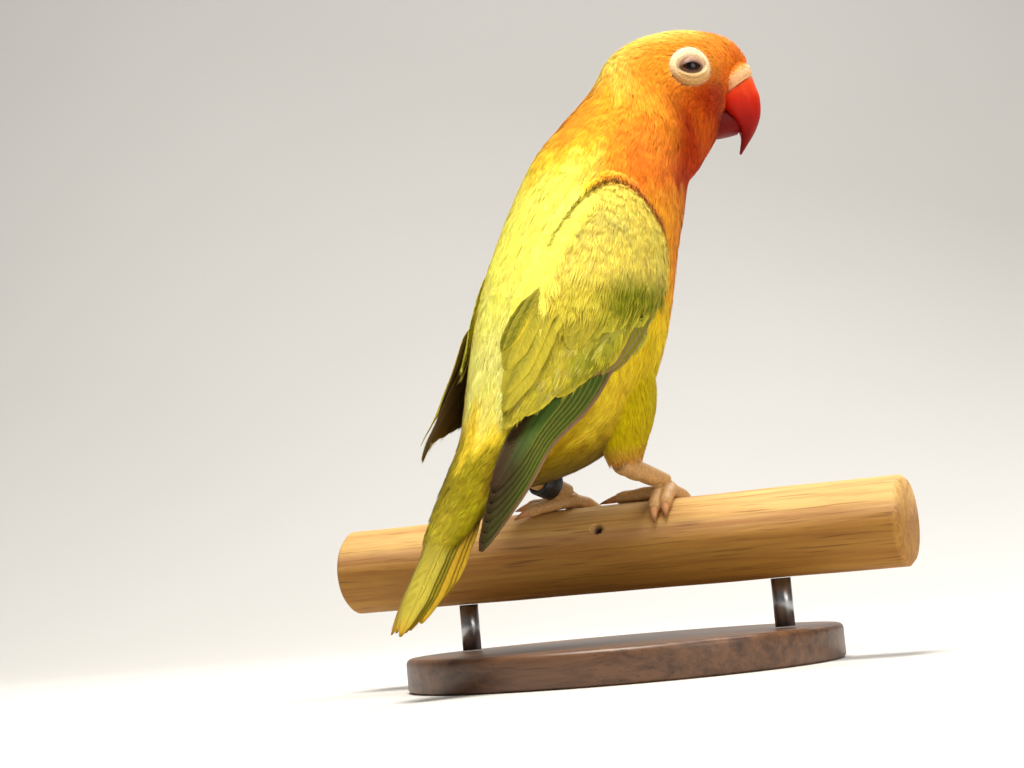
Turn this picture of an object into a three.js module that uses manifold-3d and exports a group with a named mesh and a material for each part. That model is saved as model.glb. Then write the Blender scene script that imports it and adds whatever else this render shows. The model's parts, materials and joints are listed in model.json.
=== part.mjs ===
// Fischer's lovebird (Agapornis fischeri), a yellow variety, perched on a short length of dowel that
// two rods hold over a round base. A still, life-size model. Millimetres, +Z up. The origin is the
// centre of the base's underside, and the dowel runs along X.

import * as THREE from "three";
import { mergeVertices } from "three/addons/utils/BufferGeometryUtils.js";
import Module from "manifold-3d";

const wasm = await Module();
wasm.setup();

// Driving dimensions

const GAP = 0.3; // clearance that two touching pieces keep
const VANE = 0.55; // thickness of a flight feather's vane

const PERCH_RADIUS = 9;
const PERCH_LENGTH = 124;
const PERCH_HEIGHT = 26; // axis above the ground
const BASE_RADIUS = 45;
const BASE_THICKNESS = 7;
const BASE_BEVEL = 1.2;
const ROD_RADIUS = 2;
const ROD_SPACING = 70;

const HEADING = 70; // degrees from +X to where the bird's breast points
const HEAD_TURN = -43; // degrees, from the breast towards the bird's right
const HEAD_CENTRE = [23.3, -3, 99.5]; // ahead of, beside and above the dowel's axis

// The trunk's sections from the tail root up to the shoulders: the back's and the belly's place in
// the middle plane (ahead, above the dowel's axis), and the half width between them
const TRUNK = [
  { back: [-39, 17.5], belly: [-31, 10.5], half: 5.5 },
  { back: [-35.5, 25.5], belly: [-21.5, 13.6], half: 11.5 },
  { back: [-32, 35.5], belly: [-6.5, 18.3], half: 15 },
  { back: [-29, 46], belly: [5, 27.5], half: 16.5 },
  { back: [-25, 56], belly: [12, 38], half: 17.2 },
  { back: [-19.5, 66], belly: [16, 48.5], half: 17.2 },
  { back: [-13.5, 75.5], belly: [19, 58.5], half: 16.8 },
  { back: [-7, 84.5], belly: [22.8, 67.5], half: 15.8 },
  { back: [1, 92], belly: [26.6, 75.8], half: 14 },
];

// The neck's and head's sections in the same way, from the head's centre, in a plane that has turned
// by the given share of the head's turn
const SKULL = [
  { turn: 0.5, back: [-14.2, 0.6], belly: [6.8, -19.4], half: 13.2 },
  { turn: 0.85, back: [-10, 7], belly: [9.9, -15.6], half: 13 },
  { turn: 1, back: [-3.6, 11.2], belly: [11.8, -13], half: 12.4 },
  { turn: 1, back: [4.3, 12.7], belly: [12.6, -11.8], half: 11.8 },
  { turn: 1, back: [10.8, 11.9], belly: [13, -11], half: 9.5 },
  { turn: 1, back: [15.8, 10], belly: [13.2, -9.8], half: 6.2 },
  { turn: 1, back: [18.7, 7.6], belly: [13.7, -8], half: 4.3 },
  { turn: 1, back: [20.1, 4.7], belly: [14.4, -6], half: 2.2 },
];

// The bill's halves in the head's middle plane: the ridge's and the cutting edge's place, half width
const UPPER_BILL = [
  { back: [20.9, 2.3], belly: [13.5, -3], half: 5.5 },
  { back: [22, -0.4], belly: [14, -5], half: 5.4 },
  { back: [22.8, -3.8], belly: [15, -7], half: 4.9 },
  { back: [22.6, -7.6], belly: [16.3, -8.8], half: 3.9 },
  { back: [21.2, -11], belly: [17.6, -10.4], half: 2.6 },
  { back: [19.4, -13.6], belly: [17.9, -12.5], half: 1.3 },
  { back: [17.6, -16], belly: [17.2, -15.8], half: 0.3 },
];
const LOWER_BILL = [
  { back: [10.5, -4.5], belly: [8, -11.5], half: 4.4 },
  { back: [14.5, -6.5], belly: [12, -13], half: 4.3 },
  { back: [17, -8.6], belly: [15, -13], half: 3.3 },
  { back: [18.6, -10.8], belly: [17.2, -12.8], half: 1.8 },
];
const CERE_DEPTH = 2.2;
const NOSTRIL_RADIUS = 0.75;
const NOSTRIL_PLACE = [20, 2.7, 3.4]; // ahead, aside and above the head's centre

const EYE_PLACE = [6.9, 11.2, 1.8]; // ahead, aside and above the head's centre
const EYE_FORWARD = 10; // degrees that the eye looks ahead of straight aside
const EYE_UP = 5;
const EYE_RADIUS = 3;
const EYE_DEPTH = 2.3; // from the face's surface to the eyeball's centre
const RING_RADIUS = 4.4; // the bare white ring round the eye
const LID_OPENING = [4.6, 2.8];

// The surface that the folded wings lie on carries the trunk's own sections on past the rump
const BEYOND_RUMP = [
  { back: [-41, 19], belly: [-26, 6], half: 11.4 },
  { back: [-47.5, 7.5], belly: [-36, -1.5], half: 10.6 },
  { back: [-53.5, -5], belly: [-44.5, -11], half: 10 },
];

// Wings, by the distance down the trunk from the shoulders (mm), the angle from the middle of the
// back (degrees) and the lift off the trunk (mm)
const WING_ARM = [
  { down: 16.5, from: 50, to: 74, dome: 1 },
  { down: 20, from: 40, to: 92, dome: 2.2 },
  { down: 26, from: 33, to: 105, dome: 3 },
  { down: 34, from: 28, to: 108, dome: 3.4 },
  { down: 42, from: 25, to: 100, dome: 3.2 },
  { down: 50, from: 24, to: 88, dome: 2.6 },
  { down: 57, from: 26, to: 72, dome: 1.8 },
];
const ARM_RINGS = 10;
const ARM_EDGE = 0.7; // the arm's thickness at its rim

// The wings' tiers of vanes: the first and the last vane's root and tip on the bed, as the distance
// down, the angle and the lift. Close ones don't stand off the trunk where the inner feathers do
const WING_TIERS = {
  primaries: {
    count: 7, half: 2.7, close: true,
    roots: [[46, 64, 0.8], [46, 84, 0.8]], tips: [[86, 44, 1.2], [104, 62, 0.6]],
  },
  secondaries: {
    count: 8, half: 2.9, close: false,
    roots: [[42, 42, 1.2], [42, 82, 1.2]], tips: [[81, 37, 2.4], [60, 76, 2.2]],
  },
  tertials: {
    count: 3, half: 2.8, close: false,
    roots: [[40, 36, 1], [40, 42, 1]], tips: [[66, 18, 2.6], [74, 27, 3]],
  },
  greaterCoverts: {
    count: 7, half: 3, close: false,
    roots: [[32, 44, 1.6], [32, 94, 1.6]], tips: [[58, 32, 3.4], [46, 96, 3.2]],
  },
  primaryCoverts: {
    count: 3, half: 2, close: false,
    roots: [[40, 82, 1.4], [40, 90, 1.4]], tips: [[59, 77, 2], [57, 85, 1.4]],
  },
};
const WING_TILT = 20; // degrees that each vane leans over the next one

// A drooping wing hangs further round the trunk, by the degrees given for its shoulder, its middle
// and its tip, and the tips of its inner feathers stand off the trunk
const WINGS = {
  left: {
    side: 1,
    droop: { shoulder: 26, middle: 14, tip: 40, stand: 3.4 },
    tips: {
      primaries: [[86, 78, 1.2], [102, 104, 0.6]],
      secondaries: [[88, 40, 2.4], [62, 80, 2.2]],
      tertials: [[70, 20, 2.6], [82, 29, 3]],
    },
  },
  right: { side: -1, droop: { shoulder: 0, middle: 0, tip: 0, stand: 0 }, tips: {} },
};

// Tail, from the rump's end along it, aside from its middle and above it
const TAIL_ROOT = [-37.8, 22]; // ahead and above
const TAIL_SLOPE = 54.5; // degrees below level
const TAIL_CORE = [
  { along: -3, top: 0.4, bottom: -12.5, half: 9.6 },
  { along: 5, top: 0, bottom: -10, half: 8.6 },
  { along: 13, top: -0.2, bottom: -6.5, half: 7.2 },
  { along: 20, top: -0.6, bottom: -4, half: 5.6 },
  { along: 24, top: -1, bottom: -2.6, half: 4 },
];
const TAIL_PAIRS = 6;
const TAIL_LENGTH = 42.5;
const TAIL_COVERTS = 5;

// Legs. The thighs' sections run from the flank down to the heel
const THIGH = [
  { back: [-10, 37], belly: [3.2, 37.5], half: 3.8 },
  { back: [-11.8, 30.5], belly: [3.6, 30.5], half: 4.8 },
  { back: [-12.8, 24.5], belly: [0.8, 25], half: 4.5 },
  { back: [-12.8, 19.8], belly: [-2, 20.6], half: 3.8 },
  { back: [-11.6, 16], belly: [-4, 17.4], half: 3 },
];
const THIGH_ASIDE = 10.7;
const HEEL_SHARE = 0.8; // how much of a foot's shift along the bird its heel makes
const SHANK = [[-9.6, 16.9], [-6.6, 15.6], [-2, 14.2], [3.4, 12.5]];
const SHANK_RADII = [2.2, 2, 1.65];
const TOE_RADIUS = 1.4;

// The feet's places along the dowel, and each toe's start and end by the place along the dowel and
// the degrees over to its far side
const FEET = {
  left: {
    side: 1,
    along: -9.4,
    toes: [
      { name: "rear_outer", start: [-10.6, 0], end: [-22.2, 2] },
      { name: "rear_inner", start: [-9.6, -6], end: [-19.6, -38] },
      { name: "front_inner", start: [-8.4, 4], end: [-3.6, 64] },
      { name: "front_outer", start: [-10, 4], end: [-13.4, 80] },
    ],
  },
  right: {
    side: -1,
    along: 12.6,
    toes: [
      { name: "rear_outer", start: [13.8, -4], end: [15.1, -60] },
      { name: "rear_inner", start: [12, -4], end: [12.7, -66] },
      { name: "front_inner", start: [11.6, 4], end: [-3.4, 13] },
      { name: "front_outer", start: [13.2, 4], end: [16.1, 80] },
    ],
  },
};
const BAND_BORE = 2.45; // the leg ring's inner radius
const BAND_WALL = 0.7;
const BAND_HEIGHT = 4.2;
const BAND_SHARE = 0.46; // of the shank's length, where the ring hangs

// Helpers for closed solids

const degrees = THREE.MathUtils.degToRad;
const lerp = THREE.MathUtils.lerp;

function solid(geometry) {
  const bare = geometry.clone();
  bare.deleteAttribute("normal");
  bare.deleteAttribute("uv");
  const merged = mergeVertices(bare, 1e-5);
  const vertProperties = new Float32Array(merged.attributes.position.array);
  const triVerts = new Uint32Array(merged.index.array);
  const made = new wasm.Manifold(new wasm.Mesh({ numProp: 3, vertProperties, triVerts }));
  if (made.volume() > 0) return made;
  for (let corner = 0; corner < triVerts.length; corner += 3) {
    const first = triVerts[corner];
    triVerts[corner] = triVerts[corner + 1];
    triVerts[corner + 1] = first;
  }
  return new wasm.Manifold(new wasm.Mesh({ numProp: 3, vertProperties, triVerts }));
}

function shape(made) {
  const mesh = made.getMesh();
  const geometry = new THREE.BufferGeometry();
  geometry.setAttribute("position", new THREE.BufferAttribute(new Float32Array(mesh.vertProperties), 3));
  geometry.setIndex(new THREE.BufferAttribute(new Uint32Array(mesh.triVerts), 1));
  geometry.computeVertexNormals();
  return geometry;
}

function largest(made) {
  const pieces = made.decompose();
  pieces.sort((one, other) => other.volume() - one.volume());
  return pieces[0];
}

// a closed surface through rings of the same number of points, with a fan over each end; the
// stretch after the turned point splits its squares along their other diagonal
function loft(rings, turned = -1) {
  const sides = rings[0].length;
  const points = rings.flat();
  const faces = [];
  for (let ring = 0; ring + 1 < rings.length; ring++) {
    for (let side = 0; side < sides; side++) {
      const near = ring * sides + side;
      const next = ring * sides + ((side + 1) % sides);
      if (side === turned) {
        faces.push(near, next, near + sides);
        faces.push(next, next + sides, near + sides);
      } else {
        faces.push(near, next, next + sides);
        faces.push(near, next + sides, near + sides);
      }
    }
  }
  const ends = [
    { start: 0, ring: rings[0], turn: 1 },
    { start: (rings.length - 1) * sides, ring: rings[rings.length - 1], turn: 0 },
  ];
  for (const end of ends) {
    const middle = end.ring.reduce((sum, point) => sum.add(point), new THREE.Vector3());
    points.push(middle.divideScalar(sides));
    for (let side = 0; side < sides; side++) {
      const pair = [end.start + side, end.start + ((side + 1) % sides)];
      faces.push(points.length - 1, pair[end.turn], pair[1 - end.turn]);
    }
  }
  const geometry = new THREE.BufferGeometry().setFromPoints(points);
  geometry.setIndex(faces);
  return geometry;
}

// where a section's angle lies on a rounded box between ellipse and rectangle
function rounded(angle, powers) {
  const cosine = Math.cos(angle);
  const sine = Math.sin(angle);
  const power = cosine > 0 ? powers[0] : powers[1];
  const along = Math.sign(cosine) * Math.abs(cosine) ** (2 / power);
  const across = Math.sign(sine) * Math.abs(sine) ** (2 / power);
  return [along, across];
}

// the same rings with both ends moved out along the form by a distance
function stretched(rings, distance) {
  const middles = [rings[0], rings[1], rings.at(-2), rings.at(-1)].map((ring) => {
    return ring.reduce((sum, point) => sum.add(point), new THREE.Vector3()).divideScalar(ring.length);
  });
  const first = middles[0].clone().sub(middles[1]).setLength(distance);
  const last = middles[3].clone().sub(middles[2]).setLength(distance);
  for (const point of rings[0]) point.add(first);
  for (const point of rings.at(-1)) point.add(last);
  return rings;
}

// A form that sections describe, with smooth curves through their backs, bellies and half widths
class Form {
  constructor(sections, powers = [2.2, 2.2]) {
    const curve = (points) => new THREE.CatmullRomCurve3(points, false, "catmullrom", 0.5);
    this.backs = curve(sections.map((one) => one.back));
    this.bellies = curve(sections.map((one) => one.belly));
    this.sizes = curve(sections.map((one) => new THREE.Vector3(one.half, one.yaw, 0)));
    this.count = sections.length;
    this.powers = powers;
  }

  // the point at a share of the length and an angle from the back, lifted off the surface
  point(share, angle, lift = 0) {
    const back = this.backs.getPoint(share);
    const belly = this.bellies.getPoint(share);
    const size = this.sizes.getPoint(share);
    const middle = back.clone().add(belly).multiplyScalar(0.5);
    const up = back.clone().sub(belly).multiplyScalar(0.5);
    const side = new THREE.Vector3(-Math.sin(size.y), Math.cos(size.y), 0);
    const [along, across] = rounded(angle, this.powers);
    const deep = up.length();
    const wide = size.x;
    const place = middle.addScaledVector(up, along).addScaledVector(side, across * wide);
    if (lift === 0) return place;
    const outward = up.clone().multiplyScalar(along / deep / deep);
    outward.addScaledVector(side, across / wide);
    return place.addScaledVector(outward.normalize(), lift);
  }

  rings(perSection, sides, lift = 0) {
    const steps = (this.count - 1) * perSection;
    const rings = [];
    for (let step = 0; step <= steps; step++) {
      const share = step / steps;
      const ring = [];
      for (let side = 0; side < sides; side++) {
        ring.push(this.point(share, (side / sides) * 2 * Math.PI, lift));
      }
      rings.push(ring);
    }
    return stretched(rings, lift);
  }
}

function tube(points, radii, steps, sides, lift = 0) {
  const curve = new THREE.CatmullRomCurve3(points);
  const frames = curve.computeFrenetFrames(steps);
  const rings = [];
  for (let step = 0; step <= steps; step++) {
    const share = step / steps;
    const middle = curve.getPointAt(share);
    const slot = Math.min(share * (radii.length - 1), radii.length - 1.001);
    const radius = lerp(radii[Math.floor(slot)], radii[Math.floor(slot) + 1], slot % 1) + lift;
    const ring = [];
    for (let side = 0; side < sides; side++) {
      const angle = (side / sides) * 2 * Math.PI;
      const point = middle.clone().addScaledVector(frames.normals[step], radius * Math.cos(angle));
      ring.push(point.addScaledVector(frames.binormals[step], radius * Math.sin(angle)));
    }
    rings.push(ring);
  }
  return loft(stretched(rings, lift));
}

// A vane lies on a bed, a function of three measures: along, across and above. It runs from one such
// place to another, tapers to its tip, and one edge is tilted up over its neighbour
const VANE_OUTLINE = [[0, 0.65], [0.4, 1], [0.8, 0.84], [1, 0.14]];

function vane(bed, from, to, half, tilt = 0, thickness = VANE) {
  const nudge = 0.01;
  const rings = VANE_OUTLINE.map(([share, width]) => {
    const [along, across, above] = from.map((value, axis) => lerp(value, to[axis], share));
    const middle = bed(along, across, above);
    const aside = bed(along, across + nudge, above).sub(middle).normalize();
    const out = bed(along, across, above + nudge).sub(middle).normalize();
    const lean = aside.clone().multiplyScalar(Math.cos(tilt)).addScaledVector(out, Math.sin(tilt));
    const face = out.clone().multiplyScalar(Math.cos(tilt)).addScaledVector(aside, -Math.sin(tilt));
    const deep = (thickness / 2) * (1 - 0.35 * share);
    const corner = (wide, high) =>
      middle.clone().addScaledVector(lean, wide * half * width).addScaledVector(face, high * deep);
    return [corner(-1, -1), corner(-1, 1), corner(1, 1), corner(1, -1)];
  });
  return solid(loft(rings, 3));
}

function middlePlane([ahead, above], yaw, centre = [0, 0, 0]) {
  const place = new THREE.Vector3(ahead * Math.cos(yaw), ahead * Math.sin(yaw), above);
  return place.add(new THREE.Vector3(...centre));
}

function trunkSection({ back, belly, half }) {
  return { back: middlePlane(back, 0), belly: middlePlane(belly, 0), half, yaw: 0 };
}

function skullSection({ turn, back, belly, half }) {
  const yaw = degrees(HEAD_TURN) * turn;
  return {
    back: middlePlane(back, yaw, HEAD_CENTRE),
    belly: middlePlane(belly, yaw, HEAD_CENTRE),
    half,
    yaw,
  };
}

function flatSection({ back, belly, half }) {
  return { back: middlePlane(back, 0), belly: middlePlane(belly, 0), half, yaw: 0 };
}

const headFrame = new THREE.Matrix4()
  .makeTranslation(...HEAD_CENTRE)
  .multiply(new THREE.Matrix4().makeRotationZ(degrees(HEAD_TURN)));

function inHead(geometry) {
  return geometry.applyMatrix4(headFrame);
}

// The body from the tail root to the forehead

const bodyForm = new Form([...TRUNK.map(trunkSection), ...SKULL.map(skullSection)]);
const BODY_SIDES = 28;

function wholeBody(lift = 0) {
  return solid(loft(bodyForm.rings(2, BODY_SIDES, lift)));
}

function cuttingPlate(point, tilt, yaw) {
  const plate = new THREE.BoxGeometry(GAP, 70, 70);
  plate.rotateY(-degrees(tilt));
  plate.rotateZ(degrees(yaw));
  plate.translate(...point);
  return solid(plate);
}

// Bill, cere and eyes, in the head's own frame

const ROUND_TOP = [2, 4.5]; // the powers of a section with a round ridge and square lower edges
const ROUND_BELLY = [5, 2];
const ROUND = [2, 2];

function billSolid(sections, powers, lift = 0) {
  const form = new Form(sections.map(flatSection), powers);
  return solid(inHead(loft(form.rings(2, 14, lift))));
}

function cereSections() {
  const [first, second] = UPPER_BILL;
  const slope = new THREE.Vector2(second.back[0] - first.back[0], second.back[1] - first.back[1]);
  slope.normalize();
  const moved = (place, way) => [place[0] + slope.x * way, place[1] + slope.y * way];
  const steps = [
    { way: -CERE_DEPTH - 1.5, swell: 0.3 },
    { way: -CERE_DEPTH, swell: 0.6 },
    { way: -CERE_DEPTH / 2, swell: 0.8 },
    { way: 0, swell: 0.3 },
  ];
  const across = new THREE.Vector2(-slope.y, slope.x);
  return steps.map(({ way, swell }) => {
    const [ahead, above] = moved(first.back, way - GAP);
    return {
      back: [ahead + across.x * swell, above + across.y * swell],
      belly: moved(first.belly, way - GAP),
      half: first.half + swell,
    };
  });
}

// a nostril is a small round pit in the cere
function nostrilSolid(side) {
  const pit = new THREE.SphereGeometry(NOSTRIL_RADIUS, 8, 6);
  pit.translate(NOSTRIL_PLACE[0], side * NOSTRIL_PLACE[1], NOSTRIL_PLACE[2]);
  return solid(inHead(pit));
}

function eyeFrame(side) {
  const frame = new THREE.Matrix4().makeTranslation(EYE_PLACE[0], side * EYE_PLACE[1], EYE_PLACE[2]);
  frame.multiply(new THREE.Matrix4().makeRotationZ(-side * degrees(EYE_FORWARD)));
  frame.multiply(new THREE.Matrix4().makeRotationX(side * degrees(EYE_UP)));
  if (side < 0) frame.multiply(new THREE.Matrix4().makeRotationZ(Math.PI));
  return frame;
}

// lathe profiles turn about Y, which is the way that the eye looks
function inEye(geometry, side) {
  return inHead(geometry.applyMatrix4(eyeFrame(side)));
}

function eyeBall(side, lift = 0) {
  const ball = new THREE.SphereGeometry(EYE_RADIUS + lift, 14, 8);
  ball.translate(0, -EYE_DEPTH, 0);
  return solid(inEye(ball, side));
}

function lidProfile() {
  const outer = EYE_RADIUS + 0.85;
  const inner = EYE_RADIUS + GAP;
  const height = (radius, at) => -EYE_DEPTH + Math.sqrt(radius * radius - at * at);
  return [
    [0, height(inner, 0)],
    [1.5, height(inner, 1.5)],
    [2.6, height(inner, 2.6)],
    [3.1, -1.1],
    [RING_RADIUS, -1.1],
    [RING_RADIUS, 0],
    [RING_RADIUS - 0.7, 0.6],
    [2.4, 0.9],
    [1.4, height(outer, 1.4)],
    [0, height(outer, 0)],
  ].map(([x, y]) => new THREE.Vector2(x, y));
}

function lidRing(side) {
  const ring = solid(inEye(new THREE.LatheGeometry(lidProfile(), 18), side));
  const [wide, high] = LID_OPENING;
  const almond = new THREE.Shape();
  almond.moveTo(-wide / 2, 0);
  almond.quadraticCurveTo(0, high * 0.85, wide / 2, 0);
  almond.quadraticCurveTo(0, -high * 1.15, -wide / 2, 0);
  const prism = new THREE.ExtrudeGeometry(almond, { depth: 4, bevelEnabled: false, curveSegments: 4 });
  prism.rotateX(-Math.PI / 2);
  prism.translate(0, -1.2, 0);
  return largest(ring.subtract(solid(inEye(prism, side))));
}

function ringPocket(side) {
  const pocket = new THREE.CylinderGeometry(RING_RADIUS + GAP, RING_RADIUS + GAP, 4, 20);
  pocket.translate(0, 2 - 1.1 - GAP, 0);
  return solid(inEye(pocket, side));
}

// Wings

const bedForm = new Form([...TRUNK.slice(1).reverse(), ...BEYOND_RUMP].map(trunkSection));
const bedMiddle = new THREE.CatmullRomCurve3(
  [...TRUNK.slice(1).reverse(), ...BEYOND_RUMP].map(trunkSection).map(({ back, belly }) => {
    return back.clone().add(belly).multiplyScalar(0.5);
  }), false, "catmullrom", 0.5,
);
bedMiddle.arcLengthDivisions = 400;
const bedLength = bedMiddle.getLength();

// side is 1 on the left and -1 on the right; a drooping wing hangs further round the trunk by the
// degrees given from the shoulder to the tip, and the inner feathers' tips stand off the trunk
function wingBed(side, droop) {
  return (down, angle, lift) => {
    const share = bedMiddle.getUtoTmapping(Math.min(down / bedLength, 1));
    const shoulder = 1 - THREE.MathUtils.smoothstep(down, 40, 80);
    const tip = THREE.MathUtils.smoothstep(down, 80, 100);
    const turn = droop.middle + droop.shoulder * shoulder + droop.tip * tip;
    const inner = 1 - THREE.MathUtils.smoothstep(angle, 45, 75);
    const stand = droop.stand * THREE.MathUtils.smoothstep(down, 56, 82) * inner * (1 - tip);
    return bedForm.point(share, side * degrees(angle + turn * (1 - angle / 130)), lift + stand);
  };
}

function wingArm(bed) {
  const steps = 7;
  const sheet = new THREE.CatmullRomCurve3(
    WING_ARM.map(({ down, from, to }) => new THREE.Vector3(down, from, to)), false, "catmullrom");
  const domes = new THREE.CatmullRomCurve3(
    WING_ARM.map(({ dome }) => new THREE.Vector3(dome, 0, 0)), false, "catmullrom");
  const rings = [];
  for (let ringStep = 0; ringStep <= ARM_RINGS; ringStep++) {
    const place = sheet.getPoint(ringStep / ARM_RINGS);
    const dome = domes.getPoint(ringStep / ARM_RINGS).x;
    const outer = [];
    const inner = [];
    for (let step = 0; step <= steps; step++) {
      const share = step / steps;
      const angle = lerp(place.y, place.z, share);
      const swell = Math.sin(Math.PI * share) ** 0.6;
      outer.push(bed(place.x, angle, ARM_EDGE + dome * swell));
      inner.push(bed(place.x, angle, -0.8));
    }
    rings.push([...outer, ...inner.reverse()]);
  }
  return solid(loft(rings));
}

// a tier of vanes whose roots and tips spread evenly between a first and a last one
function tier(bed, { count, roots, tips, half }) {
  const vanes = [];
  for (let number = 0; number < count; number++) {
    const share = number / (count - 1);
    const root = roots[0].map((value, axis) => lerp(value, roots[1][axis], share));
    const tip = tips[0].map((value, axis) => lerp(value, tips[1][axis], share));
    vanes.push(vane(bed, root, tip, half, degrees(WING_TILT)));
  }
  return vanes;
}

function wingSolid({ side, droop, tips }) {
  const bed = wingBed(side, droop);
  const closeBed = wingBed(side, { ...droop, stand: 0 });
  const parts = [wingArm(bed)];
  for (const [name, own] of Object.entries(WING_TIERS)) {
    parts.push(...tier(own.close ? closeBed : bed, { ...own, tips: tips[name] ?? own.tips }));
  }
  const joined = parts.reduce((sum, part) => sum.add(part));
  return largest(joined.subtract(wholeBody(GAP)));
}

// Tail

function tailBed(along, across, above) {
  const slope = degrees(TAIL_SLOPE);
  const high = above - 0.03 * across * across;
  return new THREE.Vector3(
    TAIL_ROOT[0] - Math.cos(slope) * along - Math.sin(slope) * high,
    across,
    TAIL_ROOT[1] - Math.sin(slope) * along + Math.cos(slope) * high,
  );
}

function tailSolid() {
  const sections = TAIL_CORE.map(({ along, top, bottom, half }) => ({
    back: tailBed(along, 0, top),
    belly: tailBed(along, 0, bottom),
    half,
    yaw: 0,
  }));
  const parts = [solid(loft(new Form(sections).rings(2, 20)))];
  for (const side of [1, -1]) {
    for (let pair = 0; pair < TAIL_PAIRS; pair++) {
      const above = -1.2 - 0.55 * pair - (side > 0 ? 0 : 0.25);
      const root = [10, side * (0.8 + 0.5 * pair), above];
      const tip = [TAIL_LENGTH - 0.35 * pair * pair, side * (1.6 + 0.85 * pair), above];
      parts.push(vane(tailBed, root, tip, 3, -side * degrees(4)));
    }
  }
  for (let number = 0; number < TAIL_COVERTS; number++) {
    const share = number / (TAIL_COVERTS - 1) - 0.5;
    const length = 27 - 16 * share * share;
    const above = -0.6 - 2 * share * share;
    parts.push(vane(tailBed, [8, 5 * share, above - 0.6], [length, 9 * share, above + 0.4], 2.8));
  }
  const joined = parts.reduce((sum, part) => sum.add(part));
  return largest(joined.subtract(wholeBody(GAP)));
}

// Legs and feet, the left one set further back because the dowel runs askew to the bird

const toWorld = new THREE.Matrix4().makeRotationZ(degrees(HEADING));
const fromDowel = toWorld.clone().invert();

// how far a leg has moved ahead and aside, by the share of the foot's own shift
function legShift(foot, share) {
  const place = new THREE.Vector3(foot.along, 0, 0).applyMatrix4(fromDowel);
  return [(place.x - SHANK[3][0]) * share, lerp(foot.side * THIGH_ASIDE, place.y, share)];
}

function thighSolid(foot, lift = 0) {
  const sections = THIGH.map(({ back, belly, half }, number) => {
    const [ahead, aside] = legShift(foot, (HEEL_SHARE * number) / (THIGH.length - 1));
    const moved = ([x, z]) => new THREE.Vector3(x + ahead, aside, z);
    return { back: moved(back), belly: moved(belly), half, yaw: 0 };
  });
  return solid(loft(new Form(sections).rings(2, 18, lift)));
}

function shankRoute(foot) {
  return SHANK.map(([x, z], number) => {
    const share = lerp(HEEL_SHARE, 1, number / (SHANK.length - 1));
    const [ahead, aside] = legShift(foot, share);
    return new THREE.Vector3(x + ahead, aside, z);
  });
}

function shankSolid(foot, lift = 0) {
  return solid(tube(shankRoute(foot), SHANK_RADII, 7, 10, lift));
}

// A toe runs round the dowel from the foot: its start and end by the place along the dowel and the
// angle over to the far side
function toeRoute(start, end, from, to, height) {
  const points = [];
  for (let step = 0; step <= 6; step++) {
    const share = lerp(from, to, step / 6);
    const [along, over] = start.map((value, axis) => lerp(value, end[axis], share));
    const angle = degrees(over);
    const reach = PERCH_RADIUS + GAP + height(step / 6);
    points.push(new THREE.Vector3(along, reach * Math.sin(angle), reach * Math.cos(angle)));
  }
  return points;
}

const CLAW_SHARE = 0.72; // of a toe's whole length, where its claw begins

function toeSolid({ start, end }) {
  const radii = [1, 0.94, 1.02, 0.86, 0.92, 0.72].map((share) => share * TOE_RADIUS);
  const route = toeRoute(start, end, 0, CLAW_SHARE, (share) => lerp(TOE_RADIUS, 0.8 * TOE_RADIUS, share));
  return solid(tube(route, radii, 6, 7).applyMatrix4(fromDowel));
}

function clawSolid({ start, end }) {
  const root = 0.62 * TOE_RADIUS;
  const length = new THREE.CatmullRomCurve3(toeRoute(start, end, 0, 1, () => root)).getLength();
  const from = CLAW_SHARE + (2.4 * GAP) / length;
  const hump = (share) => root + 0.7 * Math.sin(Math.PI * share) - 0.45 * share;
  const route = toeRoute(start, end, from, 1, hump);
  return solid(tube(route, [root, 0.8 * root, 0.5 * root, 0.15], 5, 7).applyMatrix4(fromDowel));
}

function dowelInBird(lift) {
  return solid(perchGeometry(PERCH_RADIUS + lift, PERCH_LENGTH).applyMatrix4(fromDowel));
}

function footSolid(foot) {
  const pad = new THREE.SphereGeometry(2.3, 10, 6).scale(1, 1.1, 0.85);
  pad.translate(foot.along, 0, PERCH_RADIUS + GAP + 1.7);
  const parts = foot.toes.map(toeSolid);
  const joined = parts.reduce((sum, part) => sum.add(part), solid(pad.applyMatrix4(fromDowel)));
  return largest(joined.subtract(dowelInBird(GAP)).subtract(shankSolid(foot, GAP)).subtract(bandRoom()));
}

// the ring stands round the left shank, square to it
function legBand(inner = BAND_BORE, lift = 0) {
  const outer = BAND_BORE + BAND_WALL + lift;
  const half = BAND_HEIGHT / 2 + lift;
  const corners = [[inner, -half], [outer, -half], [outer, half], [inner, half]];
  const profile = corners.map(([x, y]) => new THREE.Vector2(x, y));
  const band = new THREE.LatheGeometry([...profile, profile[0]], 18);
  const curve = new THREE.CatmullRomCurve3(shankRoute(FEET.left));
  const way = curve.getTangentAt(BAND_SHARE);
  const turn = new THREE.Quaternion().setFromUnitVectors(new THREE.Vector3(0, 1, 0), way);
  band.applyQuaternion(turn);
  const middle = curve.getPointAt(BAND_SHARE);
  return band.translate(middle.x, middle.y, middle.z);
}

// the room that the ring takes up, as a solid plug
function bandRoom() {
  return solid(legBand(0, GAP));
}

// Stand

function perchGeometry(radius = PERCH_RADIUS, length = PERCH_LENGTH) {
  const bevel = 0.8;
  const profile = [
    [0, -length / 2],
    [radius - bevel, -length / 2],
    [radius, -length / 2 + bevel],
    [radius, length / 2 - bevel],
    [radius - bevel, length / 2],
    [0, length / 2],
  ].map(([x, y]) => new THREE.Vector2(x, y));
  return new THREE.LatheGeometry(profile, 36).rotateZ(Math.PI / 2);
}

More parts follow.
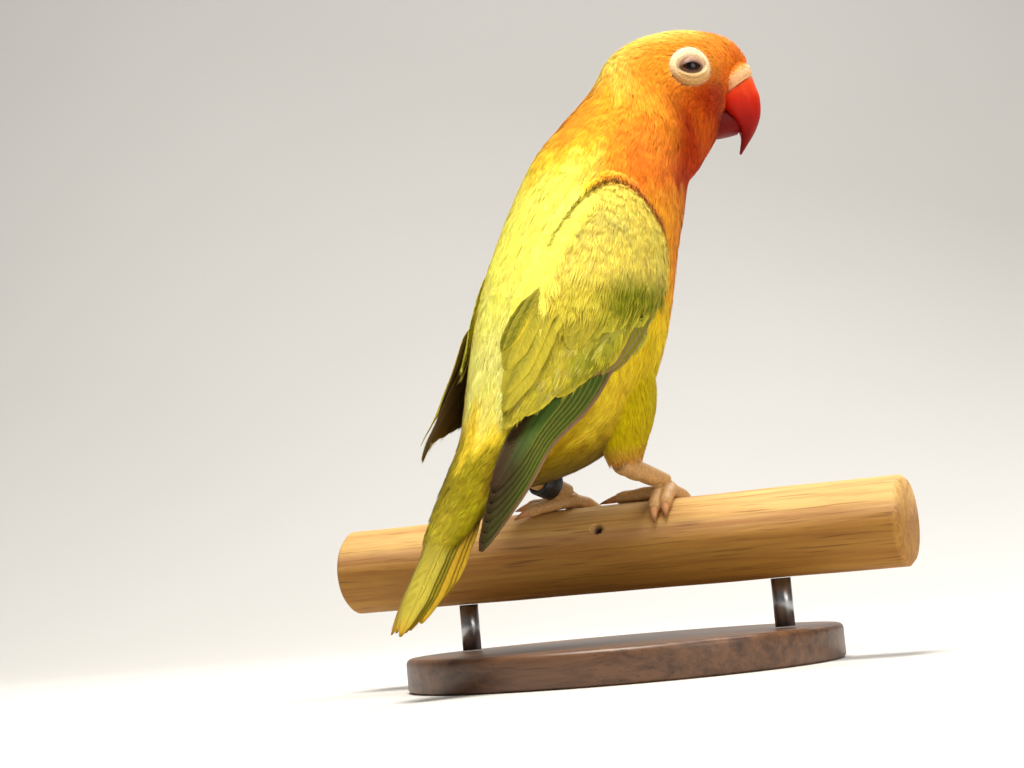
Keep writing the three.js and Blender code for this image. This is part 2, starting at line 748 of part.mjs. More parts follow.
function baseGeometry() {
  const profile = [
    [0, 0],
    [BASE_RADIUS - BASE_BEVEL / 2, 0],
    [BASE_RADIUS, BASE_BEVEL / 2],
    [BASE_RADIUS, BASE_THICKNESS - BASE_BEVEL],
    [BASE_RADIUS - BASE_BEVEL, BASE_THICKNESS],
    [0, BASE_THICKNESS],
  ].map(([x, y]) => new THREE.Vector2(x, y));
  return new THREE.LatheGeometry(profile, 44).rotateX(Math.PI / 2);
}

function rodGeometry(x) {
  const bottom = BASE_THICKNESS + GAP;
  const height = PERCH_HEIGHT - bottom;
  const rod = new THREE.CylinderGeometry(ROD_RADIUS, ROD_RADIUS, height, 20);
  rod.rotateX(Math.PI / 2);
  rod.translate(x, 0, bottom + height / 2);
  const dowel = perchGeometry(PERCH_RADIUS + GAP).translate(0, 0, PERCH_HEIGHT);
  return shape(largest(solid(rod).subtract(solid(dowel))));
}

// Materials

function material(color, roughness, metalness = 0) {
  return new THREE.MeshStandardMaterial({ color, roughness, metalness });
}

const plumage = {
  orange: () => material(0xf08a1e, 0.8),
  yellow: () => material(0xe9cf1f, 0.8),
  olive: () => material(0x9aa02a, 0.8),
};

// Assembly

const model = new THREE.Group();
const bird = new THREE.Group();
bird.rotation.z = degrees(HEADING);
bird.position.z = PERCH_HEIGHT;
model.add(bird);

function place(parent, name, geometry, look) {
  const mesh = new THREE.Mesh(geometry, look);
  mesh.name = name;
  parent.add(mesh);
}

const upperForm = (lift) => billSolid(UPPER_BILL, ROUND_TOP, lift);
const lowerForm = (lift) => billSolid(LOWER_BILL, ROUND_BELLY, lift);
const cereForm = (lift) => billSolid(cereSections(), ROUND, lift);
const nostrils = [1, -1].map((side) => nostrilSolid(side)).reduce((sum, part) => sum.add(part));
const cere = largest(cereForm(0).subtract(upperForm(GAP)).subtract(nostrils));
const lowerBill = largest(lowerForm(0).subtract(upperForm(GAP)).subtract(cereForm(GAP)));

let body = wholeBody();
for (const cutter of [upperForm(GAP), lowerForm(GAP), cereForm(GAP)]) {
  body = body.subtract(cutter);
}
for (const side of [1, -1]) {
  body = body.subtract(ringPocket(side)).subtract(eyeBall(side, GAP));
}
body = body.subtract(cuttingPlate([17.5, -0.5, 92], 45, -10));
body = body.subtract(cuttingPlate([11, 0, 79], 60, 0));
const [torso, head, neck] = body.decompose().sort((one, other) => other.volume() - one.volume());

place(bird, "torso", shape(torso), plumage.yellow());
place(bird, "head", shape(head), plumage.orange());
place(bird, "neck", shape(neck), plumage.orange());
place(bird, "bill_upper", shape(upperForm(0)), material(0xd8321c, 0.35));
place(bird, "bill_lower", shape(lowerBill), material(0x9c1f1a, 0.35));
place(bird, "cere", shape(cere), material(0xefd9c6, 0.6));
for (const [name, side] of [["left", 1], ["right", -1]]) {
  place(bird, `eye_${name}`, shape(eyeBall(side)), material(0x2a1a12, 0.1));
  place(bird, `eye_ring_${name}`, shape(lidRing(side)), material(0xf2ece4, 0.6));
}

for (const [name, wing] of Object.entries(WINGS)) {
  place(bird, `wing_${name}`, shape(wingSolid(wing)), plumage.olive());
}
place(bird, "tail", shape(tailSolid()), plumage.olive());
for (const [name, foot] of Object.entries(FEET)) {
  const leg = thighSolid(foot).subtract(wholeBody(GAP)).subtract(shankSolid(foot, GAP));
  place(bird, `thigh_${name}`, shape(largest(leg.subtract(bandRoom()))), plumage.yellow());
  const shank = shankSolid(foot).subtract(wholeBody(GAP));
  place(bird, `shank_${name}`, shape(shank), material(0xc99a86, 0.6));
  place(bird, `foot_${name}`, shape(footSolid(foot)), material(0xc99a86, 0.6));
  for (const toe of foot.toes) {
    place(bird, `claw_${toe.name}_${name}`, shape(clawSolid(toe)), material(0xd07a58, 0.4));
  }
}
place(bird, "leg_ring", legBand(), material(0x1c1d20, 0.5));

place(model, "perch", perchGeometry().translate(0, 0, PERCH_HEIGHT), material(0xd8b483, 0.6));
place(model, "stand_base", baseGeometry(), material(0x5c4030, 0.5));
place(model, "stand_rod_left", rodGeometry(-ROD_SPACING / 2), material(0x8c8f94, 0.35, 0.9));
place(model, "stand_rod_right", rodGeometry(ROD_SPACING / 2), material(0x8c8f94, 0.35, 0.9));

export default model;
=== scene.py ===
# Looks of a perched Fischer's lovebird of a yellow variety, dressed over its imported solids.
# Sizes are in millimetres in the bird's own frame: x ahead, y to its left, z up from the dowel's
# axis. They are turned into the row's frame, in metres, where a mesh is made.

import json
import math
from itertools import product

import bpy
import numpy as np
from mathutils import Matrix, Vector
from mathutils.kdtree import KDTree

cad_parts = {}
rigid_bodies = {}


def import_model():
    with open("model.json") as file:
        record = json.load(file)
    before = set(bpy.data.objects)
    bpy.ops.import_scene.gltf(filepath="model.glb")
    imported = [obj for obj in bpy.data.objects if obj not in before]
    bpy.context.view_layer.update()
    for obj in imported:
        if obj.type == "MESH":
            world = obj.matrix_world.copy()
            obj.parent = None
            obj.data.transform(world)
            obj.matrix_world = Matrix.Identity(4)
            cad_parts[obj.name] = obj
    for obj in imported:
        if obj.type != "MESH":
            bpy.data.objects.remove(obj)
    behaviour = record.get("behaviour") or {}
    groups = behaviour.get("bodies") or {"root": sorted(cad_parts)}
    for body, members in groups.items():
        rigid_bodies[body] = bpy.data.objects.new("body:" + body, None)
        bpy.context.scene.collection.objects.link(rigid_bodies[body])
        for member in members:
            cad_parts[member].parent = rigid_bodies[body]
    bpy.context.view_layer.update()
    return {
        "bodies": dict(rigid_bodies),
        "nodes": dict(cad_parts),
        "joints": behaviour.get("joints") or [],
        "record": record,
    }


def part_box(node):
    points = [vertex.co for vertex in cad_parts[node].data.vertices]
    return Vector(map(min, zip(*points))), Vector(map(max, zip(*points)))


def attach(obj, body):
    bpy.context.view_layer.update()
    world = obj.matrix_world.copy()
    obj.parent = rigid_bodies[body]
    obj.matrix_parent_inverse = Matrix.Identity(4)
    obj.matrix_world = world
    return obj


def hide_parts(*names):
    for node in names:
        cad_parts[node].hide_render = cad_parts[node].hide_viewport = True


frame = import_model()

MM = 0.001
FULL_TURN = 2 * math.pi
SIDE_NAMES = {1: "left", -1: "right"}

# Frame: the dowel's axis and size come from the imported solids

PERCH_LOW, PERCH_HIGH = (np.array(corner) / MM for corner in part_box("perch"))
PERCH_RADIUS = (PERCH_HIGH[2] - PERCH_LOW[2]) / 2
PERCH_HEIGHT = (PERCH_HIGH[2] + PERCH_LOW[2]) / 2
PERCH_LENGTH = PERCH_HIGH[0] - PERCH_LOW[0]
HEADING = math.radians(70)
HEAD_TURN = math.radians(-43)
HEAD_CENTRE = np.array([23.3, -3.0, 99.5])
GAP = 0.3

# Body sections from the tail root up: back and belly in the middle plane (ahead, up) and half width

TRUNK = [
    ((-39, 17.5), (-31, 10.5), 5.5),
    ((-35.5, 25.5), (-21.5, 13.6), 11.5),
    ((-32, 35.5), (-6.5, 18.3), 15),
    ((-29, 46), (5, 27.5), 16.5),
    ((-25, 56), (12, 38), 17.2),
    ((-19.5, 66), (16, 48.5), 17.2),
    ((-13.5, 75.5), (19, 58.5), 16.8),
    ((-7, 84.5), (22.8, 67.5), 15.8),
    ((1, 92), (26.6, 75.8), 14),
]

# Neck and head sections from the head's centre, with the share of the head's turn first

SKULL = [
    (0.5, (-14.2, 0.6), (6.8, -19.4), 13.2),
    (0.85, (-10, 7), (9.9, -15.6), 13),
    (1, (-3.6, 10.9), (11.8, -13), 12.4),
    (1, (4.3, 12.3), (12.6, -11.8), 11.8),
    (1, (10.8, 11.9), (13, -11), 9.5),
    (1, (16.3, 10.4), (13.2, -9.9), 6.3),
    (1, (19.4, 7.8), (13.7, -8.4), 4.5),
    (1, (21.1, 4.6), (14.4, -6.6), 2.8),
]
BEYOND_RUMP = [
    ((-41, 19), (-26, 6), 11.4),
    ((-47.5, 7.5), (-36, -1.5), 10.6),
    ((-53.5, -5), (-44.5, -11), 10),
]
COAT_DEPTH = 1.2
THIN_DEPTH = 0.8

UPPER_BILL = [
    ((21.6, 0.8), (13.8, -4.2), 5.45),
    ((22.2, -1.4), (14.2, -5.6), 5.3),
    ((22.8, -3.8), (15, -7), 4.9),
    ((22.6, -7.6), (16.3, -8.8), 3.9),
    ((21.2, -11), (17.6, -10.4), 2.6),
    ((19.4, -13.6), (17.9, -12.5), 1.3),
    ((17.6, -16), (17.2, -15.8), 0.3),
]
LOWER_BILL = [
    ((10.5, -4.5), (8, -11), 4.3),
    ((14.5, -6.5), (12, -12), 4.1),
    ((17, -8.6), (15, -11.8), 3.1),
    ((18.2, -10.1), (17.2, -11.4), 1.5),
]
CERE_DEPTH = 2.2
NOSTRIL_PLACE = np.array([20, 2.7, 3.4])

EYE_PLACE = np.array([6.9, 11.2, 1.8])
EYE_FORWARD = math.radians(10)
EYE_UP = math.radians(5)
EYE_RADIUS = 3.0
EYE_DEPTH = 2.3
RING_RADIUS = 4.6
LID_OPENING = (4.6, 2.8)
EYE_REACH = 7
FAR_OFF = 99.0

# Wing arm by the distance down from the shoulder: its rims' angles from the back, and its height

WING_ARM = [
    (16.5, 50, 74, 1),
    (20, 40, 92, 2.2),
    (26, 33, 105, 3),
    (34, 28, 108, 3.4),
    (42, 25, 100, 3.2),
    (50, 24, 88, 2.6),
    (57, 26, 72, 1.8),
]
ARM_EDGE = 0.7
WING_DOME = [14, 17, 20, 26, 34, 42, 50, 57, 70, 84], [0, 1, 2.2, 3, 3.4, 3.2, 2.8, 2.4, 2, 1.6]

# How far round the bird each wing droops, in degrees at its angle 0; at the last angle it doesn't

DROOP_END = 130
DROOP = {
    1: {"shoulder": 26, "middle": 14, "tip": 40, "stand": 3.4},
    -1: {"shoulder": 0, "middle": 0, "tip": 0, "stand": 0},
}

TAIL_ROOT = (-37.8, 22)
TAIL_SLOPE = math.radians(54.5)
TAIL_CORE = [
    (24, -1, -2.6, 4),
    (20, -0.6, -4, 5.6),
    (13, -0.2, -6.5, 7.2),
    (5, 0, -10, 8.6),
]
TAIL_LENGTH = 42.5
FIRST_SECTION = 1 - len(TAIL_CORE)
LAST_SECTION = len(TRUNK) + len(SKULL) - 1

THIGH = [
    ((-10, 37), (3.4, 37.5), 4.2),
    ((-11.8, 30.5), (3, 30.5), 4.6),
    ((-12.8, 24.5), (0.8, 25), 4.5),
    ((-12.8, 19.8), (-2, 20.6), 3.8),
    ((-11.6, 16), (-4, 17.4), 3),
]
THIGH_TOP = ((-6, 44), (4.2, 44.5), 3.2)
THIGH_ASIDE = 10.7
HEEL_SHARE = 0.8
SHANK = [(-9.6, 16.9), (-6.6, 15.6), (-2, 14.2), (3.4, 12.5)]
SHANK_RADII = [2.2, 2, 1.65]
TOE_RADIUS = 1.4
CLAW_SHARE = 0.72
FOOT_ALONG = {1: -9.4, -1: 12.6}
TOES = {
    1: {
        "rear_outer": ((-10.6, 0), (-22.2, 2)),
        "rear_inner": ((-9.6, -6), (-19.6, -38)),
        "front_inner": ((-8.4, 4), (-3.6, 64)),
        "front_outer": ((-10, 4), (-13.4, 80)),
    },
    -1: {
        "rear_outer": ((13.8, -4), (15.1, -60)),
        "rear_inner": ((12, -4), (12.7, -66)),
        "front_inner": ((11.6, 4), (-3.4, 13)),
        "front_outer": ((13.2, 4), (16.1, 80)),
    },
}
BAND_BORE = 2.45
BAND_WALL = 0.7
BAND_HEIGHT = 4.2
BAND_SHARE = 0.46

RANDOM = np.random.default_rng(7)


# Palette, as seen on screen and turned into linear light

def paint(red, green, blue):
    value = np.array([red, green, blue]) / 255
    return np.where(value <= 0.04045, value / 12.92, ((value + 0.055) / 1.055) ** 2.4)


YELLOW = paint(246, 216, 52)
STRAW = paint(254, 222, 92)
GOLD = paint(250, 172, 34)
AMBER = paint(252, 160, 40)
ORANGE = paint(246, 130, 28)
# Deep orange of throat and chin, darkened further as painted shade, since the throat faces away from the
# top light.
EMBER_SHADED = paint(182, 55, 2)
SCARLET = paint(250, 128, 34)
FLANK = paint(254, 224, 34)
OLIVE_YELLOW = paint(164, 130, 2)
# Dull olive of the vent and lower belly, darkened further as painted shade under the body.
VENT_SHADED = paint(124, 100, 6)
COVERT_PALE = paint(243, 222, 92)
COVERT_GREY = paint(196, 186, 98)
COVERT_OLIVE = paint(122, 128, 14)
COVERT_EDGE = paint(222, 208, 66)
SECONDARY = paint(162, 152, 44)
SECONDARY_EDGE = paint(208, 190, 54)
TERTIAL = paint(114, 116, 16)
PRIMARY = paint(66, 90, 30)
PRIMARY_EDGE = paint(128, 124, 44)
PRIMARY_INNER = paint(50, 31, 12)
PINKISH = paint(150, 112, 84)
TAIL_GREEN = paint(140, 126, 10)
TAIL_PALE = paint(190, 174, 62)
TAIL_ORANGE = paint(216, 116, 28)
# Dark brown of the large feathers' undersides: partly their own grey-brown, partly painted shade.
UNDERSIDE_SHADED = paint(84, 52, 16)
# Dark of the wing's upper border: partly the barbs' own dark, partly painted shade where the mantle
# overlaps the wing.
BARB_DARK_AND_SHADE = paint(70, 44, 6)
# The next two: the rump's and mantle's bright yellow, whitened as painted light where the top light falls
# on the back.
RUMP_PALE_LIT = paint(255, 250, 136)
MANTLE_LIT = paint(255, 250, 104)
TAIL_COAT_END = paint(190, 172, 40)
CROWN_PALE = paint(255, 234, 116)
THIGH_YELLOW = paint(206, 182, 4)
TAIL_BASE = paint(158, 142, 6)
TAIL_TIP = paint(184, 132, 18)
LOW_FLANK = paint(172, 138, 4)
JAW = paint(214, 92, 12)
THIGH_HEM = paint(214, 150, 66)
FRONTAL_TIP = paint(250, 190, 120)
RING_CREAM = paint(247, 214, 168)
# The eye ring's lower part: its cream darkened as painted shade, away from the top light.
RING_PAINTED_SHADE = paint(194, 146, 78)
LID_SKIN = paint(176, 132, 112)
LID_EDGE = paint(84, 56, 42)


# Curves, forms and frames

def smooth(value, low, high):
    share = np.clip((value - low) / (high - low), 0, 1)
    return share * share * (3 - 2 * share)


def mix(first, second, share):
    return first + (second - first) * np.asarray(share)[..., None]


def wrapped(angle):
    """The same angle between minus and plus half a turn."""
    return (angle + math.pi) % FULL_TURN - math.pi


def round_angles(count):
    return np.arange(count) / count * 2 * math.pi


def pairs(first, second):
    """Every pair of two lists' values, as two flat lists."""
    return [part.ravel() for part in np.meshgrid(first, second, indexing="ij")]


def unit(vectors):
    return vectors / (np.linalg.norm(vectors, axis=-1, keepdims=True) + 1e-9)


def tree_of(points):
    tree = KDTree(len(points))
    for number, point in enumerate(points):
        tree.insert(point, number)
    tree.balance()
    return tree


def along_curve(points, share):
    """A smooth curve through points, and straight on past its ends. A share counts sections evenly."""
    points = np.asarray(points, float)
    last = len(points) - 1
    padded = np.vstack([2 * points[0] - points[1], points, 2 * points[-1] - points[-2]])
    asked = np.asarray(share, float) * last
    place = np.clip(asked, 0, last)
    slot = np.clip(np.floor(place).astype(int), 0, last - 1)
    step = (place - slot)[..., None]
    before, start, end, after = (padded[slot + number] for number in range(4))
    leave = (end - before) / 2
    arrive = (after - start) / 2
    rise = step * step * (3 - 2 * step)
    beyond = (asked - place)[..., None]
    return (
        start * (1 - rise)
        + end * rise
        + leave * step * (1 - step) ** 2
        - arrive * step * step * (1 - step)
        + beyond * np.where(beyond < 0, leave, arrive)
    )


def tail_bed(along, across, above):
    along, across, above = np.broadcast_arrays(along, across, above)
    high = above - 0.03 * across * across
    ahead = TAIL_ROOT[0] - math.cos(TAIL_SLOPE) * along - math.sin(TAIL_SLOPE) * high
    up = TAIL_ROOT[1] - math.sin(TAIL_SLOPE) * along + math.cos(TAIL_SLOPE) * high
    return np.stack([ahead, across, up], -1)


def tail_sections():
    return [
        (tail_bed(along, 0.0, top), tail_bed(along, 0.0, bottom), half, 0.0)
        for along, top, bottom, half in TAIL_CORE]


class Form:
    """A body that sections describe: a back, a belly, a half width and a yaw for each."""

    def __init__(self, sections, powers=(2.2, 2.2)):
        self.backs = np.array([one[0] for one in sections], float)
        self.bellies = np.array([one[1] for one in sections], float)
        self.sizes = np.array([(one[2], one[3]) for one in sections], float)
        self.powers = powers

    def point(self, share, angle, lift=0.0):
        share, angle, lift = np.broadcast_arrays(share, angle, lift)
        back = along_curve(self.backs, share)
        belly = along_curve(self.bellies, share)
        size = along_curve(self.sizes, share)
        middle = (back + belly) / 2
        up = (back - belly) / 2
        side = np.stack([-np.sin(size[..., 1]), np.cos(size[..., 1]), 0 * angle], -1)
        cosine = np.cos(angle)
        sine = np.sin(angle)
        power = np.where(cosine > 0, self.powers[0], self.powers[1])
        along = np.sign(cosine) * np.abs(cosine) ** (2 / power)
        across = np.sign(sine) * np.abs(sine) ** (2 / power)
        wide = np.maximum(size[..., 0], 0.05)
        deep = np.maximum(np.linalg.norm(up, axis=-1), 0.05)
        outward = up * (along / deep**2)[..., None] + side * (across / wide)[..., None]
        outward /= np.linalg.norm(outward, axis=-1, keepdims=True) + 1e-9
        place = middle + up * along[..., None] + side * (across * wide)[..., None]
        return place + outward * lift[..., None]


def in_plane(place, yaw=0.0, centre=(0, 0, 0)):
    flat = np.array([place[0] * math.cos(yaw), place[0] * math.sin(yaw), place[1]])
    return flat + np.array(centre)


def plain_sections(rows):
    return [(in_plane(back), in_plane(belly), half, 0.0) for back, belly, half in rows]


def skull_sections():
    rows = []
    for turn, back, belly, half in SKULL:
        yaw = HEAD_TURN * turn
        high, low = (in_plane(place, yaw, HEAD_CENTRE) for place in (back, belly))
        rows.append((high, low, half, yaw))
    return rows


BODY = Form(tail_sections() + plain_sections(TRUNK[1:]) + skull_sections())


def section_of(share):
    """Which section of the body a share of its length lies at: the rump is 0 and the tail below it."""
    return FIRST_SECTION + np.asarray(share) * (LAST_SECTION - FIRST_SECTION)


def share_of(section):
    return (section - FIRST_SECTION) / (LAST_SECTION - FIRST_SECTION)


BED_ROWS = plain_sections(TRUNK[:0:-1] + BEYOND_RUMP)
BED = Form(BED_ROWS)
BED_STEPS = np.linspace(0, 1, 1200)
BED_MIDDLES = along_curve([(back + belly) / 2 for back, belly, _, _ in BED_ROWS], BED_STEPS)
BED_MEASURE = np.concatenate([[0], np.cumsum(np.linalg.norm(np.diff(BED_MIDDLES, axis=0), axis=1))])


def turned(points, angle):
    points = np.asarray(points, float)
    cosine, sine = math.cos(angle), math.sin(angle)
    x, y, z = points[..., 0], points[..., 1], points[..., 2]
    return np.stack([cosine * x - sine * y, sine * x + cosine * y, z], -1)


def from_head(points):
    return turned(points, HEAD_TURN) + HEAD_CENTRE


def to_head(points):
    return turned(np.asarray(points) - HEAD_CENTRE, -HEAD_TURN)


def to_row(points):
    """From the bird's frame in millimetres to the row's frame in metres."""
    return (turned(points, HEADING) + np.array([0, 0, PERCH_HEIGHT])) * MM


def from_row(points):
    """From the row's frame to the bird's frame, both in millimetres."""
    return turned(points - np.array([0, 0, PERCH_HEIGHT]), -HEADING)


def from_dowel(points):
    """From the dowel's own frame to the bird's frame, both in millimetres."""
    return turned(points, -HEADING)


def trunk_down(share):
    """How far down from the shoulder a share of the body lies."""
    section = np.clip(len(TRUNK) - 1 - section_of(share), 0, len(BED_ROWS) - 1)
    return np.interp(section / (len(BED_ROWS) - 1), BED_STEPS, BED_MEASURE)


def wing_bed(side, stands=True):
    """The surface that a folded wing lies on: distance down, angle in degrees and lift."""
    droop = DROOP[side]

    def place(down, angle, lift):
        down, angle, lift = np.broadcast_arrays(down, angle, lift)
        share = np.interp(down, BED_MEASURE, BED_STEPS)
        shoulder = 1 - smooth(down, 40, 80)
        tip = smooth(down, 80, 100)
        turn = droop["middle"] + droop["shoulder"] * shoulder + droop["tip"] * tip
        inner = 1 - smooth(angle, 45, 75)
        stand = droop["stand"] * smooth(down, 56, 82) * inner * (1 - tip) * stands
        swung = np.radians(angle + turn * (1 - angle / DROOP_END))
        return BED.point(share, side * swung, lift + stand)

    return place


ARM_DOWNS = np.array([row[0] for row in WING_ARM], float)


def arm_rims(down):
    """The angles of the wing arm's two rims."""
    return [np.interp(down, ARM_DOWNS, [row[column] for row in WING_ARM]) for column in (1, 2)]


def wing_height(down, angle):
    """How high the wing's covered surface stands over the bed."""
    dome = np.interp(down, *WING_DOME)
    low, high = arm_rims(down)
    share = np.clip((angle - low) / (high - low), 0, 1)
    return ARM_EDGE + dome * np.sin(math.pi * share) ** 0.6


def wing_cover(side):
    bed = wing_bed(side)
    return lambda down, angle, lift: bed(down, angle, wing_height(down, angle) + lift)


def foot_place(side):
    return from_dowel(np.array([FOOT_ALONG[side], 0, 0]))


def leg_shift(side, share):
    """How far ahead a leg has moved and where it stands aside, by its share of the foot's own shift."""
    foot = foot_place(side)
    hip = side * THIGH_ASIDE
    return (foot[0] - SHANK[-1][0]) * share, hip + (foot[1] - hip) * share


def thigh_form(side):
    rows = []
    for number, (back, belly, half) in enumerate(THIGH):
        ahead, aside = leg_shift(side, HEEL_SHARE * number / (len(THIGH) - 1))
        shift = np.array([ahead, aside, 0])
        if number == 0:
            high_back, high_belly, high_half = THIGH_TOP
            rows.append((in_plane(high_back) + shift, in_plane(high_belly) + shift, high_half, 0.0))
        rows.append((in_plane(back) + shift, in_plane(belly) + shift, half, 0.0))
    return Form(rows)


# Meshes

def set_tint(mesh, tint):
    colours = np.ones((len(tint), 4), np.float32)
    colours[:, :3] = np.clip(tint, 0, 1)
    layer = mesh.color_attributes.new(name="tint", type="FLOAT_COLOR", domain="POINT")
    layer.data.foreach_set("color", colours.ravel())


def row_points(mesh):
    """A mesh's points in the row's frame, in millimetres."""
    places = np.empty(len(mesh.vertices) * 3)
    mesh.vertices.foreach_get("co", places)
    return places.reshape(-1, 3) / MM


def build_mesh(name, points, faces, tint=None, vane=None, bake=None):
    """A mesh in the row's frame. tint and vane are values for each point, bake for each corner."""
    mesh = bpy.data.meshes.new(name)
    corners = faces.shape[1]
    mesh.vertices.add(len(points))
    mesh.vertices.foreach_set("co", np.ascontiguousarray(points, np.float32).ravel())
    mesh.loops.add(faces.size)
    mesh.loops.foreach_set("vertex_index", faces.astype(np.int32).ravel())
    mesh.polygons.add(len(faces))
    mesh.polygons.foreach_set("loop_start", np.arange(0, faces.size, corners, dtype=np.int32))
    mesh.polygons.foreach_set("use_smooth", np.ones(len(faces), bool))
    mesh.update(calc_edges=True)
    if tint is not None:
        set_tint(mesh, tint)
    if vane is not None:
        layer = mesh.attributes.new(name="vane", type="FLOAT_VECTOR", domain="POINT")
        layer.data.foreach_set("vector", np.ascontiguousarray(vane, np.float32).ravel())
    if bake is not None:
        layer = mesh.uv_layers.new(name="OFBake")
        layer.data.foreach_set("uv", np.ascontiguousarray(bake, np.float32).ravel())
    mesh.validate(clean_customdata=False)
    return mesh


def add_piece(name, mesh, material, replaced=()):
    piece = bpy.data.objects.new(name, mesh)
    bpy.context.scene.collection.objects.link(piece)
    mesh.materials.append(material)
    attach(piece, "root")
    if replaced:
        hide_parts(*replaced)
    return piece


def grid_faces(rows, columns, closed):
    """Squares between rows of points; closed joins each row's last point to its first."""
    row = np.arange(rows - 1)[:, None]
    column = np.arange(columns if closed else columns - 1)[None, :]
    near = row * columns + column
    aside = row * columns + (column + 1) % columns
    return np.stack([near, aside, aside + columns, near + columns], -1).reshape(-1, 4)


def halved(faces):
    """Squares split into triangles."""
    return np.concatenate([faces[:, [0, 1, 2]], faces[:, [0, 2, 3]]])


def capped(points, rows, columns):
    """A closed tube of rows of points, with its ends drawn together, as triangles."""
    faces = [halved(grid_faces(rows, columns, True))]
    ends = [points[:columns].mean(0), points[-columns:].mean(0)]
    total = len(points)
    ring = np.arange(columns)
    after = (ring + 1) % columns
    last = total - columns
    start = np.stack([np.full(columns, total), after, ring], -1)
    finish = np.stack([np.full(columns, total + 1), ring + last, after + last], -1)
    return np.vstack([points, ends]), np.vstack([*faces, start, finish])


def form_mesh(form, rows, columns, lift=0.0):
    share, angle = pairs(np.linspace(0, 1, rows), round_angles(columns))
    return capped(form.point(share, angle, lift), rows, columns)


def joined(parts):
    """Several lists of points and faces as one."""
    points, faces, count = [], [], 0
    for some_points, some_faces in parts:
        points.append(some_points)
        faces.append(some_faces + count)
        count += len(some_points)
    return np.vstack(points), np.vstack(faces)


# Materials

class Surface:
    """A material whose shader is fed by nodes. An input's name has _ for each space."""

    def __init__(self, name, **inputs):
        self.material = bpy.data.materials.new(name)
        self.material.use_nodes = True
        self.tree = self.material.node_tree
        self.shader = self.tree.nodes["Principled BSDF"]
        self.fill(self.shader, **inputs)

    def fill(self, node, **values):
        """Sets a node's settings and inputs, and links those inputs that come from another node."""
        for key, value in values.items():
            socket = key.replace("_", " ")
            if socket not in node.inputs:
                setattr(node, key, value)
            elif isinstance(value, bpy.types.NodeSocket):
                self.tree.links.new(value, node.inputs[socket])
            else:
                node.inputs[socket].default_value = value

    def add(self, kind, output, *sources, **values):
        """A new node's output. Sources go to its first inputs, in order."""
        node = self.tree.nodes.new("ShaderNode" + kind)
        self.fill(node, **values)
        for number, source in enumerate(sources):
            self.tree.links.new(source, node.inputs[number])
        return node.outputs[output]

    def place(self, scale=None):
        place = self.add("TexCoord", "Object")
        return place if scale is None else self.add("Mapping", "Vector", place, Scale=scale)

    def noise(self, place, **values):
        return self.add("TexNoise", "Fac", Vector=place, **values)

    def level(self, value, **limits):
        return self.add("MapRange", "Result", Value=value, **limits)

    def ramp(self, factor, *stops):
        colour = self.add("ValToRGB", "Color", factor)
        for element, (place, tone) in zip(colour.node.color_ramp.elements, stops):
            element.position = place
            element.color = (*tone, 1)
        return colour

    def tint(self):
        return self.add("Attribute", "Color", attribute_name="tint")

    def tinted(self, level):
        """The painted tint, lighter and darker by a level."""
        return self.add("VectorMath", "Vector", self.tint(), operation="SCALE", Scale=level)

    def finish(self, colour, height=None, strength=0.0, distance=0.0):
        self.fill(self.shader, Base_Color=colour)
        if height is not None:
            bump = self.add("Bump", "Normal", Strength=strength, Distance=distance, Height=height)
            self.fill(self.shader, Normal=bump)
        return self.material


def plumage_material(name, barbs, depth, sheen, roughness):
    """Feathers: the painted tint, streaked by fine barbs that run along each vane."""
    made = Surface(
        name, Roughness=roughness, Sheen_Weight=sheen, Sheen_Roughness=0.5, Specular_IOR_Level=0.12)
    vane = made.add("Attribute", "Vector", attribute_name="vane")
    drawn = made.add("Mapping", "Vector", vane, Scale=barbs)
    streaks = made.noise(drawn, Scale=1.0, Detail=2.0, Roughness=0.6)
    level = made.level(streaks, From_Min=0.3, From_Max=0.7, To_Min=1 - depth, To_Max=1 + depth)
    return made.finish(made.tinted(level), streaks, 0.35, 0.00012)


def horn_material():
    """Bill and claws: waxy horn with faint growth lines, coloured by the painted tint."""
    made = Surface(
        "horn", Roughness=0.48, Coat_Weight=0.03, Coat_Roughness=0.3, Specular_IOR_Level=0.12,
        Subsurface_Weight=0.04, Subsurface_Radius=(0.0012, 0.0004, 0.0002), Subsurface_Scale=1.0)
    growth = made.noise(made.place(), Scale=900.0, Detail=5.0, Roughness=0.6)
    tone = made.ramp(growth, (0.3, (0.82, 0.78, 0.76)), (0.7, (1, 1, 1)))
    colour = made.add(
        "Mix", "Result", data_type="RGBA", blend_type="MULTIPLY", Factor=1.0, A=made.tint(), B=tone)
    return made.finish(colour, growth, 0.25, 0.0001)


def skin_material(name, scale, roughness, relief):
    """Bare skin: fine cells and wrinkles over the painted tint."""
    made = Surface(
        name, Roughness=roughness,
        Subsurface_Weight=0.15, Subsurface_Radius=(0.001, 0.0005, 0.0003), Subsurface_Scale=1.0)
    cells = made.add(
        "TexVoronoi", "Distance", feature="DISTANCE_TO_EDGE", Vector=made.place(), Scale=scale)
    level = made.level(cells, From_Max=0.12, To_Min=0.78)
    return made.finish(made.tinted(level), level, relief, 0.00015)


def flecked_material(name, roughness, scale, detail, *stops):
    """A plain surface whose colour is a little uneven."""
    made = Surface(name, Roughness=roughness)
    return made.finish(made.ramp(made.noise(made.place(), Scale=scale, Detail=detail), *stops))


